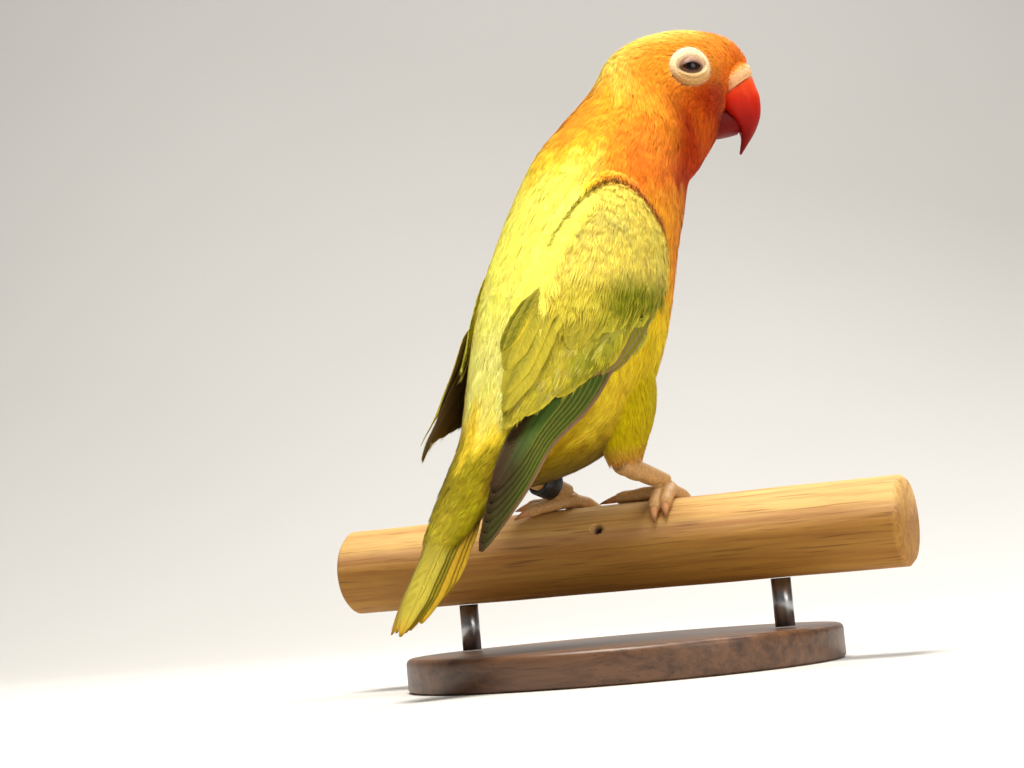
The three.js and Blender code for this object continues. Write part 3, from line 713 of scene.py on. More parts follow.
def wood_material(name, pale, dark, fleck, roughness, flecks):
    """Wood with its grain along X: long streaks and fine dark lines over the painted tint."""
    made = Surface(name, Roughness=roughness)
    grain = made.place((9, 170, 170))
    streaks = made.noise(grain, Scale=2.2, Detail=8.0, Roughness=0.68, Distortion=0.4)
    tone = made.ramp(streaks, (0.32, dark), (0.6, pale))
    pores = made.noise(made.place((75, 2300, 2300)), Scale=1.0, Detail=1.0)
    share = made.level(pores, From_Min=0.6, From_Max=0.75, To_Max=flecks)
    blend = made.add("Mix", "Result", data_type="RGBA", Factor=share, A=tone, B=(*fleck, 1))
    colour = made.add("VectorMath", "Vector", blend, made.tint(), operation="MULTIPLY")
    return made.finish(colour, streaks, 0.3, 0.0002)


def steel_material():
    made = Surface("satin_steel", Metallic=1.0)
    brushed = made.noise(made.place((900, 900, 60)), Scale=1.0, Detail=3.0)
    tone = made.ramp(brushed, (0.3, paint(150, 152, 156)), (0.7, paint(190, 192, 196)))
    made.fill(made.shader, Roughness=made.level(brushed, To_Min=0.25, To_Max=0.45))
    return made.finish(tone)


def eye_material():
    made = Surface(
        "eye_gloss", Roughness=0.25, Coat_Weight=0.12, Coat_Roughness=0.05, Specular_IOR_Level=0.2)
    level = made.level(made.noise(made.place(), Scale=2600.0, Detail=2.0), To_Min=0.7, To_Max=1.3)
    return made.finish(made.tinted(level))


SOFT_COAT = plumage_material("small_feathers", (7.0, 0.3, 3.1), 0.07, 0.05, 0.9)
STIFF_COAT = plumage_material("stiff_feathers", (5.0, 0.5, 3.1), 0.1, 0.04, 0.75)
HORN = horn_material()
BARE_SKIN = skin_material("bare_skin", 1300.0, 0.55, 0.3)
SCALY_SKIN = skin_material("scaly_skin", 1500.0, 0.5, 0.6)
EYE_GLOSS = eye_material()


# Markings of the body, alike on both sides: colours by section along its back, sides and belly

def stops_colour(value, stops):
    places = [place for place, _ in stops]
    colours = np.array([colour for _, colour in stops])
    return np.stack([np.interp(value, places, colours[:, channel]) for channel in range(3)], -1)


BACK_LINE = [
    (-3, TAIL_COAT_END), (-1.5, TAIL_COAT_END), (-0.5, TAIL_BASE), (0.3, TAIL_BASE), (1.2, YELLOW),
    (2, RUMP_PALE_LIT), (3, RUMP_PALE_LIT), (4.4, MANTLE_LIT), (6.4, MANTLE_LIT), (7.1, YELLOW), (7.7, GOLD), (8.9, GOLD),
    (9.8, STRAW), (11.2, STRAW), (11.8, CROWN_PALE), (12.7, CROWN_PALE), (13.3, AMBER), (14.6, AMBER),
    (16, SCARLET)]
SIDE_LINE = [
    (-3, TAIL_GREEN), (-0.5, TAIL_BASE), (0.4, VENT_SHADED), (1.8, LOW_FLANK), (2.7, YELLOW), (3.6, FLANK),
    (5, FLANK), (5.6, YELLOW), (6.2, GOLD), (6.8, AMBER), (7.4, ORANGE), (9, AMBER), (13.5, AMBER),
    (14.5, ORANGE), (16, ORANGE)]
BELLY_LINE = [
    (-3, VENT_SHADED), (0, VENT_SHADED), (3, OLIVE_YELLOW), (4.2, FLANK), (5, GOLD), (6, AMBER), (7, AMBER), (8, EMBER_SHADED),
    (9.8, EMBER_SHADED), (10.8, JAW), (12.4, EMBER_SHADED), (13.4, EMBER_SHADED), (16, SCARLET)]


def body_markings(share, angle):
    section = section_of(share)
    angle = np.asarray(angle)
    round_back = np.degrees(np.abs(wrapped(angle)))
    waves = 0.3 * np.sin(5 * angle + 2 * section), 0.15 * np.sin(17 * angle - 3 * section)
    section = section + waves[0] + waves[1]
    back, side, belly = (stops_colour(section, line) for line in (BACK_LINE, SIDE_LINE, BELLY_LINE))
    colour = mix(back, side, smooth(round_back, 16, 62))
    head = smooth(section, 6.6, 7.6)
    return mix(colour, belly, smooth(round_back, 85 - 13 * head, 140 - 28 * head))


# Small feathers

# The share of a small feather that is a closed web, before its strands part
WEB_SHARE = 0.4


def tuft_pattern(strands):
    """A small feather whose short web parts into pointed strands.

    Gives its points' places along and across, each point's strand, and its faces.
    """
    edges = np.linspace(-1, 1, strands + 1)
    places = [(along, across, -1) for along in (0.0, WEB_SHARE) for across in edges]
    faces = list(halved(grid_faces(2, strands + 1, False)))
    for strand in range(strands):
        middle = (edges[strand] + edges[strand + 1]) / 2
        number = len(places)
        for way in (-0.7, 0.7):
            places.append((0.74, middle + way / strands, strand))
        places.append((1 - 0.14 * middle * middle, middle * 1.04, strand))
        root = strands + 1 + strand
        faces.append([root, root + 1, number + 1])
        faces.append([root, number + 1, number])
        faces.append([number, number + 1, number + 2])
    places = np.array(places)
    return places[:, :2], places[:, 2].astype(int), np.array(faces)


def vane_width(along):
    return np.interp(along, [0, 0.25, 0.5, 0.75, 1], [0.4, 0.85, 1, 0.9, 0.5])


def tangents(surface, first, second, flow):
    """Steps of the surface's two measures that make a millimetre along the flow and across it."""
    nudge_first = 1e-3 * np.ptp(first) + 1e-6
    nudge_second = 1e-3 * np.ptp(second) + 1e-6
    origin = surface(first, second, 0.0)
    along_first = (surface(first + nudge_first, second, 0.0) - origin) / nudge_first
    along_second = (surface(first, second + nudge_second, 0.0) - origin) / nudge_second
    ahead = unit(along_first * flow)
    aside = np.cross(unit(np.cross(along_first, along_second)), ahead)
    return along_first, along_second, ahead, aside


def in_measures(along_first, along_second, way):
    """A small way in the surface, in the surface's own measures."""
    a = (along_first * along_first).sum(-1)
    b = (along_first * along_second).sum(-1)
    c = (along_second * along_second).sum(-1)
    d = (along_first * way).sum(-1)
    e = (along_second * way).sum(-1)
    scale = 1 / np.maximum(a * c - b * b, 1e-12)
    return (c * d - b * e) * scale, (a * e - b * d) * scale


def lay_tufts(
        surface, roots, flow, length, width, strands, low, high, lean=0.0, camber=0.12, ruffle=0.06):
    """Small feathers on a surface, from a height at their roots to one at their tips.

    flow is 1 or -1, the way that they lie along the surface's first measure, and lean turns them.
    """
    places, strands, faces = tuft_pattern(strands)
    first, second = roots.T
    count = len(first)
    length = np.broadcast_to(length, count) * RANDOM.uniform(0.84, 1.16, count)
    width = np.broadcast_to(width, count) * RANDOM.uniform(0.86, 1.14, count)
    heading = np.broadcast_to(lean, count) + RANDOM.normal(0, 0.1, count)
    along_first, along_second, ahead, aside = tangents(surface, first, second, flow)
    cosine, sine = np.cos(heading)[:, None], np.sin(heading)[:, None]
    step_lie = in_measures(along_first, along_second, cosine * ahead + sine * aside)
    step_across = in_measures(along_first, along_second, cosine * aside - sine * ahead)
    along, over = places.T
    free = (along > 0.5)[None] * np.clip((along - 0.4) / 0.6, 0, 1)[None]
    kinds = strands.max() + 1
    loose = RANDOM.normal(0, 1, (3, count, kinds))[:, :, strands] * free[None]
    reach = length[:, None] * (along[None] + 0.07 * loose[0])
    breadth = (width / 2)[:, None] * ((over * vane_width(along))[None] + 0.12 * loose[1])
    p = first[:, None] + step_lie[0][:, None] * reach + step_across[0][:, None] * breadth
    q = second[:, None] + step_lie[1][:, None] * reach + step_across[1][:, None] * breadth
    rise = 1 - (1 - np.minimum(along, 1)) ** 1.7
    low, high = (np.broadcast_to(value, count)[:, None] for value in (low, high))
    lift = low + (high - low) * rise[None] - camber * (over**2)[None] * rise[None] + 0.05 * loose[2]
    lift = lift + RANDOM.normal(0, ruffle, count)[:, None] * (along**1.5)[None]
    points = surface(p.ravel(), q.ravel(), lift.ravel())
    numbers = np.arange(count)
    faces = (faces[None] + (numbers * len(places))[:, None, None]).reshape(-1, 3)
    vane = np.stack([
        np.broadcast_to(over * 0.5, p.shape) * width[:, None],
        reach,
        np.broadcast_to(numbers[:, None] * 1.37, p.shape),
    ], -1).reshape(-1, 3)
    return {
        "points": points, "faces": faces, "vane": vane, "first": p, "second": q, "strands": strands,
        "along": np.broadcast_to(along, p.shape), "over": np.broadcast_to(over, p.shape),
        "shape": p.shape,
    }


def tuft_tint(tufts, colours, jitter=0.05, strand=0.09, root_painted_shade=0.82):
    """Painted colours which vary by feather and by strand, darkened at the roots as painted shade under the
    overlapping feathers.
    """
    count, size = tufts["shape"]
    strands = tufts["strands"]
    each = RANDOM.normal(0, strand, (count, strands.max() + 2))[:, strands]
    bright = 1 + RANDOM.normal(0, jitter, (count, 1)) + each
    # Painted shade towards the roots, which the feathers before them cover.
    depth = root_painted_shade + (1 - root_painted_shade) * smooth(tufts["along"], 0.1, 0.7)
    warm = RANDOM.normal(0, 0.03, (count, 1)) + each * 0.3
    shade = np.stack([bright * depth, bright * depth * (1 + warm), bright * depth], -1)
    return np.clip(colours.reshape(count, size, 3) * shade, 0, 1).reshape(-1, 3)


# Half of a small feather's patch in the bake map, and the margins of the body's own unwrap

PATCH = 0.0015
UNWRAP_EDGE = 0.01
UNWRAP_SPAN = 0.98


def tuft_bake(tufts, place):
    """Each feather is a small patch at its root's place on the skin's unwrap."""
    centre = place[:, None, :] + PATCH * np.stack([tufts["over"], 2 * tufts["along"] - 1], -1)
    return centre.reshape(-1, 2)[tufts["faces"].ravel()]


def wing_unwrap(roots, reach):
    return np.stack([0.02 + 0.9 * roots[:, 1] / 120, 0.02 + 0.9 * roots[:, 0] / reach], -1)


def tuft_piece(name, tufts, tint, place, slot, shown=slice(None)):
    """A piece of the coat, from those of its tufts that are shown."""
    faces = tufts["faces"].reshape(len(place), -1, 3)[shown].reshape(-1, 3)
    bake = tuft_bake(tufts, place).reshape(len(place), -1, 2)[shown].reshape(-1, 2)
    mesh = build_mesh(name, to_row(tufts["points"]), faces, tint, tufts["vane"], bake)
    add_piece(name, mesh, SOFT_COAT)


def all_of(colour, tufts):
    """One colour for all points of some tufts."""
    return np.broadcast_to(colour, (*tufts["shape"], 3))


def body_unwrap(share, angle):
    """The place in the bake map of a place on the body."""
    return np.stack([
        UNWRAP_EDGE + UNWRAP_SPAN * angle / FULL_TURN,
        UNWRAP_EDGE + UNWRAP_SPAN * np.clip(share, 0, 1),
    ], -1)


def scatter(points, radius):
    """Indices of points picked at random that keep their radius from each other."""
    size = float(np.max(radius))
    cells = {}
    kept = []
    keys = np.floor(points / size).astype(int)
    places = points.tolist()
    for index in RANDOM.permutation(len(points)).tolist():
        x, y, z = places[index]
        a, b, c = keys[index].tolist()
        room = radius[index] ** 2
        free = True
        for key in product((a - 1, a, a + 1), (b - 1, b, b + 1), (c - 1, c, c + 1)):
            others = cells.get(key, ())
            if any((x - u) ** 2 + (y - v) ** 2 + (z - w) ** 2 < room for u, v, w in others):
                free = False
                break
        if free:
            cells.setdefault((a, b, c), []).append((x, y, z))
            kept.append(index)
    return np.array(sorted(kept))


def candidates(surface, first_span, second_span, count):
    """Random places on a surface, spread evenly over its area."""
    first = RANDOM.uniform(*first_span, count)
    second = RANDOM.uniform(*second_span, count)
    along_first, along_second, _, _ = tangents(surface, first, second, 1)
    area = np.linalg.norm(np.cross(along_first, along_second), axis=-1)
    keep = RANDOM.random(count) < area / np.quantile(area, 0.98)
    return np.stack([first[keep], second[keep]], -1)


# Eye frame, in the head's frame: x ahead, y the way that the eye looks, z up

def eye_axes(side):
    forward = -side * EYE_FORWARD
    look = np.array([-math.sin(forward) * side, math.cos(forward) * side, 0.0])
    look = look * math.cos(EYE_UP) + np.array([0, 0, math.sin(EYE_UP)])
    look /= np.linalg.norm(look)
    up = np.array([0, 0, 1.0]) - look * look[2]
    up /= np.linalg.norm(up)
    ahead = np.cross(look, up) * side
    return ahead, look, up


def eye_centre(side):
    return EYE_PLACE * np.array([1, side, 1])


def from_eye(points, side):
    ahead, look, up = eye_axes(side)
    place = eye_centre(side)
    local = place + points[..., :1] * ahead + points[..., 1:2] * look + points[..., 2:3] * up
    return from_head(local)


def eye_distance(points, side):
    """How far from the eye's axis points of the bird lie."""
    offset = to_head(points) - eye_centre(side)
    _, look, _ = eye_axes(side)
    depth = offset @ look
    aside = np.linalg.norm(offset - depth[..., None] * look, axis=-1)
    return np.where(depth > -EYE_REACH, aside, FAR_OFF)


def near_eye(points):
    return np.minimum(eye_distance(points, 1), eye_distance(points, -1))


UPPER_FORM = Form(plain_sections(UPPER_BILL), (2, 4.5))
LOWER_FORM = Form(plain_sections(LOWER_BILL), (5, 2))

# How far along the bill's base each section of the cere lies, and how far it swells

CERE_SWELLS = [(-CERE_DEPTH - 1.2, -0.7), (-CERE_DEPTH, 0.1), (-CERE_DEPTH / 2, 0.3), (0, 0.15)]


def cere_form():
    first, second = (np.array(row[0]) for row in UPPER_BILL[:2])
    slope = (second - first) / np.linalg.norm(second - first)
    across = np.array([-slope[1], slope[0]])
    rows = []
    for way, swell in CERE_SWELLS:
        back = first + slope * (way - GAP) + across * swell
        belly = np.array(UPPER_BILL[0][1]) + slope * (way - GAP)
        rows.append((in_plane(back), in_plane(belly), UPPER_BILL[0][2] + swell, 0.0))
    return Form(rows, (2, 2))


CERE_FORM = cere_form()


def add_frontal_tufts():
    """Short feathers that fall over the cere's upper edge."""
    def surface(share, angle, lift):
        return from_head(CERE_FORM.point(share, angle, lift))

    roots = candidates(surface, (0.02, 0.5), (-2.2, 2.2), 9000)
    points = surface(roots[:, 0], roots[:, 1], 0.0)
    roots = roots[scatter(points, np.full(len(roots), 0.3))]
    tufts = lay_tufts(surface, roots, -1, 1.3, 0.5, 4, -0.2, 0.35)
    upper = smooth(roots[:, :1], 0.3, 0.5) * np.ones(tufts["shape"])
    tint = tuft_tint(tufts, mix(all_of(ORANGE, tufts), FRONTAL_TIP, upper))
    place = np.stack([0.3 + 0.08 * roots[:, 1] / math.pi, 0.9 + 0.08 * roots[:, 0]], -1)
    tuft_piece("coat_frontal", tufts, tint, place, "orange_plumage")


def bill_distance(points):
    """How far points of the bird lie from its bill and cere."""
    share, angle = pairs(np.linspace(0, 1, 24), np.linspace(0, FULL_TURN, 36))
    horny = [form.point(share, angle, 0.0) for form in (UPPER_FORM, LOWER_FORM, CERE_FORM)]
    tree = tree_of(np.vstack(horny))
    return np.array([tree.find(point)[2] for point in to_head(points)])


# Coat of the body

# Lengths and widths of the small feathers by section

BODY_LENGTHS = [
    (-3, 7), (0, 9), (4, 9.5), (7, 9), (8.6, 7.5), (10.5, 5.2), (12.5, 4), (14, 3), (16, 1.7)]
BODY_WIDTHS = [
    (-3, 2.6), (0, 3), (7, 2.9), (8.6, 2.4), (10.5, 1.7), (12.5, 1.4), (14, 1.2), (16, 0.9)]

# The coat's pieces: name, first and last section, spacing, and how many strands a feather has

BODY_PIECES = [
    ("coat_rump", -2.6, 2.2, 1.05, 11),
    ("coat_flank", 2.2, 4.9, 1.05, 11),
    ("coat_mantle", 4.9, 7.4, 0.98, 11),
    ("coat_nape", 7.4, 9.4, 0.86, 9),
    ("coat_crown", 9.4, 11.6, 0.6, 6),
    ("coat_face", 11.6, 16, 0.52, 5),
]
THIGH_LINE = [
    (0, FLANK), (0.3, THIGH_YELLOW), (0.72, THIGH_YELLOW), (0.97, THIGH_HEM), (1, THIGH_HEM)]


def under_wing(roots, margin):
    """True where the wing's arm hides the body's surface."""
    down = trunk_down(roots[:, 0])
    angle = np.degrees(wrapped(roots[:, 1]))
    hidden = np.zeros(len(roots), bool)
    for side in (1, -1):
        droop = DROOP[side]
        turn = droop["middle"] + droop["shoulder"] * (1 - smooth(down, 40, 80))
        low, high = (rim + turn * (1 - rim / DROOP_END) for rim in arm_rims(down))
        inside = (angle * side > low + margin) & (angle * side < high - margin)
        hidden |= inside & (down > ARM_DOWNS[0] + 4) & (down < ARM_DOWNS[-1] - 6)
    return hidden & (section_of(roots[:, 0]) < len(TRUNK))


def body_coat(name, low, high, spacing, strands):
    """One piece of the coat, between two sections, with tufts that shrink towards eye and bill."""
    span = (share_of(low), share_of(high))
    tries = int(24000 * (high - low + 1) / spacing**2 / 3)
    roots = candidates(BODY.point, span, (-math.pi, math.pi), tries)
    points = BODY.point(roots[:, 0], roots[:, 1], 0.0)
    keep = near_eye(points) > RING_RADIUS - 0.1
    keep &= ~under_wing(roots, 12)
    keep &= RANDOM.random(len(roots)) < 0.12 + 0.88 * smooth(section_of(roots[:, 0]), -2.4, -0.9)
    roots, points = roots[keep], points[keep]
    bare_gap = np.minimum(near_eye(points) - RING_RADIUS, bill_distance(points) + 0.3)
    grown = smooth(bare_gap, 0.2, 6)
    kept = scatter(points, spacing * (0.6 + 0.4 * grown))
    roots, points, size = roots[kept], points[kept], 0.42 + 0.58 * grown[kept]
    section = section_of(roots[:, 0])
    length = np.interp(section, *zip(*BODY_LENGTHS)) * size
    width = np.interp(section, *zip(*BODY_WIDTHS)) * size
    tufts = lay_tufts(
        BODY.point, roots, -1, length, width, strands, -COAT_DEPTH * size, 0.15 * size)
    rim = near_eye(tufts["points"]).reshape(tufts["shape"]) - RING_RADIUS
    clear = rim.min(1) > -RANDOM.uniform(0.5, 1, len(roots))
    stray = RANDOM.normal(0, 0.12, (len(roots), 1))
    share = 0.4 * tufts["first"] + 0.6 * roots[:, :1] + stray / (LAST_SECTION - FIRST_SECTION)
    x, _, z = points.T
    mottle = 0.5 + 0.5 * np.sin(x * 0.9 + 2 * np.sin(z * 0.31)) * np.sin(z * 0.7 + 1)
    colours = body_markings(share, tufts["second"]) * (0.93 + 0.09 * mottle)[:, None, None]
    colours = mix(colours, RING_CREAM, 0.6 * (1 - smooth(rim, -0.5, 0.45)))
    place = body_unwrap(roots[:, 0], (roots[:, 1] + math.pi) % FULL_TURN)
    slot = "orange_plumage" if low > 8 else "yellow_plumage"
    tuft_piece(name, tufts, tuft_tint(tufts, colours), place, slot, clear)


def add_body_coat():
    for row in BODY_PIECES:
        body_coat(*row)


def thigh_coat(side):
    surface = thigh_form(side).point
    roots = candidates(surface, (0.05, 0.93), (-math.pi, math.pi), 30000)
    points = surface(roots[:, 0], roots[:, 1], 0.0)
    roots = roots[scatter(points, np.interp(roots[:, 0], [0, 0.6, 1], [0.8, 0.6, 0.42]))]
    length = np.interp(roots[:, 0], [0, 0.6, 0.9, 1], [6, 4.5, 2.2, 1.4])
    tufts = lay_tufts(surface, roots, 1, length, length * 0.34, 7, -THIN_DEPTH, 0.12)
    low = np.clip(0.5 * tufts["first"] + 0.5 * roots[:, :1], 0, 1)
    tint = tuft_tint(tufts, stops_colour(low, THIGH_LINE))
    place = np.stack([0.01 + 0.2 * (roots[:, 1] + math.pi) / FULL_TURN, roots[:, 0]], -1)
    tuft_piece(f"coat_thigh_{SIDE_NAMES[side]}", tufts, tint, place, "yellow_plumage")


# Skin under the coat: body, thighs, wing arms and tail root fused into one

def arm_mesh(side, inset):
    bed = wing_bed(side)
    rows, columns = 40, 16
    rings = []
    for down in np.linspace(ARM_DOWNS[0] + inset, ARM_DOWNS[-1], rows):
        low, high = arm_rims(down)
        angles = np.linspace(low + 2, high - 2, columns)
        outer = bed(down, angles, wing_height(down, angles) - inset)
        inner = bed(down, angles, -THIN_DEPTH)
        rings.append(np.vstack([outer, inner[::-1]]))
    return capped(np.vstack(rings), rows, 2 * columns)


FLESH = ["torso", "neck", "head", "thigh_left", "thigh_right", "wing_left", "wing_right", "tail"]


def add_skin():
    parts = [form_mesh(BODY, 140, 56, -COAT_DEPTH)]
    for side in (1, -1):
        parts.append(form_mesh(thigh_form(side), 40, 28, -THIN_DEPTH))
        parts.append(arm_mesh(side, COAT_DEPTH))
    skin = fuse("skin_parts", parts, 0.8, 6)
    share, angle = nearest_body_place(from_row(row_points(skin)))
    # The skin wears the plumage's colours darkened as painted shade, for the gaps between the feathers.
    set_tint(skin, body_markings(share, angle) * 0.85)
    bake_skin(skin, share, angle)
    add_piece("skin", skin, BARE_SKIN, FLESH)


def nearest_body_place(points):
    share, angle = pairs(np.linspace(0, 1, 160), np.linspace(-math.pi, math.pi, 72))
    tree = tree_of(BODY.point(share, angle, -COAT_DEPTH))
    found = np.array([tree.find(point)[1] for point in points])
    return share[found], angle[found]


def bake_skin(mesh, share, angle):
    """The skin's unwrap, with no face across the belly's seam."""
    corners = np.empty(len(mesh.loops), np.int32)
    mesh.loops.foreach_get("vertex_index", corners)
    starts = np.empty(len(mesh.polygons), np.int32)
    mesh.polygons.foreach_get("loop_start", starts)
    sizes = np.diff(np.append(starts, len(corners)))
    first = np.repeat(angle[corners[starts]], sizes)
    around = first + wrapped(angle[corners] - first)
    places = body_unwrap(share[corners], around + math.pi)
    layer = mesh.uv_layers.new(name="OFBake")
    layer.data.foreach_set("uv", places.astype(np.float32).ravel())


# Large feathers: closed thin vanes with a raised shaft

VANE_ROWS = 26
VANE_SIDES = np.array([-1, -0.8, -0.5, -0.2, -0.05, 0.05, 0.2, 0.5, 0.8, 1])
VANE_THICKNESS = 0.14


SHAFT_HALF = 0.06


def large_feather(bed, root, tip, half, tilt=0.0, shaft=0.0, camber=0.3, blunt=0.35, barbs=0.0):
    """One large feather on a bed: a closed thin vane, with fine barbs over its edges and tip.

    Gives points, triangles, places along and across the vane, the barbs' own shade, which points
    are on the underside, barb lines and bake places.
    """
    along = np.linspace(0, 1, VANE_ROWS) ** 0.9
    measures = [root[axis] + (tip[axis] - root[axis]) * along for axis in range(3)]
    middle = bed(*measures)
    nudge = 0.01
    aside = unit(bed(measures[0], measures[1] + nudge, measures[2]) - middle)
    out = unit(bed(measures[0], measures[1], measures[2] + nudge) - middle)
    lean = aside * math.cos(tilt) + out * math.sin(tilt)
    face = out * math.cos(tilt) - aside * math.sin(tilt)
    ahead = unit(np.gradient(middle, axis=0))
    size = np.linalg.norm(middle[-1] - middle[0])

    def place(at, over, lift, pointed):
        frame = [
            np.stack([np.interp(at, along, part[:, axis]) for axis in range(3)], -1)
            for part in (middle, lean, face, ahead)]
        taper = np.interp(at, [0, 0.12, 0.45, 0.78, 1], [0.35, 0.75, 1, 0.92, blunt])
        if pointed:
            taper = taper * np.sqrt(np.clip(1 - (np.maximum(at - 0.86, 0) / 0.145) ** 2, 0, 1))
        wide = half * taper * (shaft + np.where(over < 0, over * (1 + shaft), over * (1 - shaft)))
        high = lift - camber * over * over * taper
        beyond = np.maximum(at - 1, 0) * size
        parts = [np.ones_like(wide), wide, high, beyond]
        return sum(amount[:, None] * part for amount, part in zip(parts, frame))

    columns = len(VANE_SIDES)
    at, over = (grid.ravel() for grid in np.meshgrid(along, VANE_SIDES, indexing="ij"))
    ragged = over + 0.02 * RANDOM.normal(0, 1, len(over)) * (np.abs(over) > 0.9)
    ridge = 0.1 * (np.abs(over) < 0.1) * (1 - 0.6 * at)
    thin = VANE_THICKNESS / 2 * (1 - 0.5 * at)
    top = place(at, ragged, ridge + thin, True)
    bottom = place(at, ragged, -thin, True)
    upper = grid_faces(VANE_ROWS, columns, False)
    rim = list(range(columns))
    rim += [row * columns + columns - 1 for row in range(1, VANE_ROWS)]
    rim += [(VANE_ROWS - 1) * columns + column for column in range(columns - 2, -1, -1)]
    rim += [row * columns for row in range(VANE_ROWS - 2, 0, -1)]
    rim = np.array(rim)
    after = np.roll(rim, -1)
    wall = np.stack([after, rim, rim + len(top), after + len(top)], -1)
    faces = halved(np.vstack([upper, upper[:, ::-1] + len(top), wall]))
    count = int(barbs * size)
    side_at = RANDOM.uniform(0.08, 0.95, 2 * count)
    way = np.repeat([-1.0, 1.0], count)
    start = RANDOM.uniform(0.2, 0.85, 2 * count)
    end = 1 + RANDOM.normal(0.03, 0.06, 2 * count)
    slant = 1.1 * half / max(size, 1)
    tips = count // 3
    tip_at = RANDOM.uniform(0.84, 0.95, tips)
    tip_over = RANDOM.uniform(-0.85, 0.85, tips)
    tip_end = 1 + RANDOM.normal(0.01, 0.3 / max(size, 1), tips) - 0.03 * tip_over**2
    root_at = np.concatenate([side_at, tip_at])
    root_over = np.concatenate([way * start, tip_over])
    head_at = np.concatenate([side_at + slant * (end - start), tip_end])
    head_over = np.concatenate([way * end, tip_over * 1.03])
    breadth = 0.14 / max(size, 1)
    fine = [
        place(root_at - breadth, root_over, 0.13 + 0 * root_at, False),
        place(root_at + breadth, root_over, 0.13 + 0 * root_at, False),
        place(head_at, head_over, 0.09 + 0 * root_at, False)]
    total = len(root_at)
    hairs = np.stack(fine, 1).reshape(-1, 3)
    hair_faces = 2 * len(top) + np.arange(3 * total).reshape(-1, 3)
    hair_place = np.stack([
        np.stack([root_at, root_at, head_at], 1).ravel(),
        np.stack([root_over, root_over, head_over], 1).ravel(),
    ], -1)
    hair_shade = (1 + RANDOM.normal(0, 0.1, total)).repeat(3)
    places = np.vstack([np.stack([at, over], -1)] * 2 + [np.clip(hair_place, -1, 1)])
    shade = np.concatenate([np.ones(2 * len(top)), hair_shade])
    under = np.arange(len(places)) // len(top) == 1
    lines = places[:, 0] * size - 1.2 * np.abs(places[:, 1]) * half
    vane = np.stack([lines, places[:, 1] * half, 0 * lines], -1)
    bake = np.stack([(places[:, 1] + 1) / 4, np.clip(places[:, 0], 0, 1)], -1)
    bake[len(top):2 * len(top), 0] += 0.5
    points = np.vstack([top, bottom, hairs])
    return points, np.vstack([faces, hair_faces]), places, shade, under, vane, bake


def feather_piece(name, feathers, columns=8):
    """One piece of several large feathers, each with its own cell of the bake map."""
    points, faces, tints, vanes, bakes, count = [], [], [], [], [], 0
    rows = math.ceil(len(feathers) / columns)
    for number, (shape, colour) in enumerate(feathers):
        some_points, some_faces, place, shade, under, vane, bake = shape
        jitter = shade * (1 + RANDOM.normal(0, 0.03))
        cell = np.array([(number % columns) / columns, (number // columns) / rows])
        size = np.array([0.9 / columns, 0.9 / rows])
        points.append(some_points)
        faces.append(some_faces + count)
        tint = colour(place[:, 0], place[:, 1])
        # Undersides take a dark brown that is partly painted shade.
        tint = mix(tint, UNDERSIDE_SHADED, 0.9 * under)
        tints.append(np.clip(tint * jitter[:, None], 0, 1))
        vanes.append(vane + np.array([0, 0, number * 5.3]))
        bakes.append((cell + size * bake)[some_faces.ravel()])
        count += len(some_points)
    faces, tints, vanes, bakes = (np.vstack(rows) for rows in (faces, tints, vanes, bakes))
    mesh = build_mesh(name, to_row(np.vstack(points)), faces, tints, vanes, bakes)
    return add_piece(name, mesh, STIFF_COAT)


def edged(base, edge, inner, edge_start, tip_edge, blotch=0.0, dusk=0.0, shaft_dark=0.12):
    """A feather's colour: base, inner web, a pale edge on outer web and tip, and a dusky end that is partly
    painted shade; its root is darker with painted shade where other feathers cover it.
    """
    phase = RANDOM.uniform(0, 6)
    bright = RANDOM.uniform(0.95, 1.05)

    def colour(along, across):
        shade = mix(inner, base, smooth(across, -0.6, 0.0))
        rim = np.maximum(smooth(across, edge_start, 0.95), smooth(along, tip_edge, 1.0) * 0.5)
        rim = np.maximum(rim, smooth(-across, 0.8, 1.0) * 0.4)
        streak = 0.5 + 0.5 * np.sin(4 * across + 2 * np.sin(3 * along + phase) + phase)
        rim = np.maximum(rim, blotch * streak * smooth(along, 0.1, 0.5))
        shade = mix(shade, edge, rim)
        # Dusky end: partly the feather's own dark, partly painted shade where the tips lie hidden.
        shade = mix(shade, PRIMARY_INNER, dusk * smooth(along, 0.62, 0.97))
        shaft = 1 - shaft_dark * (np.abs(across) < SHAFT_HALF)
        # Painted shade towards the root, under the feathers that cover it.
        depth = 0.85 + 0.15 * smooth(along, 0.1, 0.6)
        return shade * (bright * shaft * depth)[:, None]
    return colour


WING_TIPS = {
    1: {
        "primaries": ((92, 84, 1.4), (95, 99, 0.7)),
        "secondaries": ((83.5, 42, 2.6), (61, 80, 2.3)),
        "tertials": ((70, 19, 2.8), (83, 29, 3.2)),
    },
    -1: {
        "primaries": ((93, 50, 1.2), (105, 62, 0.6)),
        "secondaries": ((82, 36, 2.6), (59, 77, 2.3)),
        "tertials": ((63, 15, 2.9), (77, 29, 3.2)),
    },
}
GREATER_TIPS = ((61, 31, -0.5), (50, 95, -0.6))
WRIST_TIPS = ((62, 74, 1.9), (58, 86, 1.2))


def tier_places(count, roots, tips, stray=0.0):
    """The roots and tips of a tier's feathers, spread evenly, with tips that stray down the wing."""
    for number in range(count):
        share = number / (count - 1)
        root = [start + (end - start) * share for start, end in zip(*roots)]
        tip = [start + (end - start) * share for start, end in zip(*tips)]
        tip[0] += RANDOM.normal(0, stray)
        yield share, root, tip


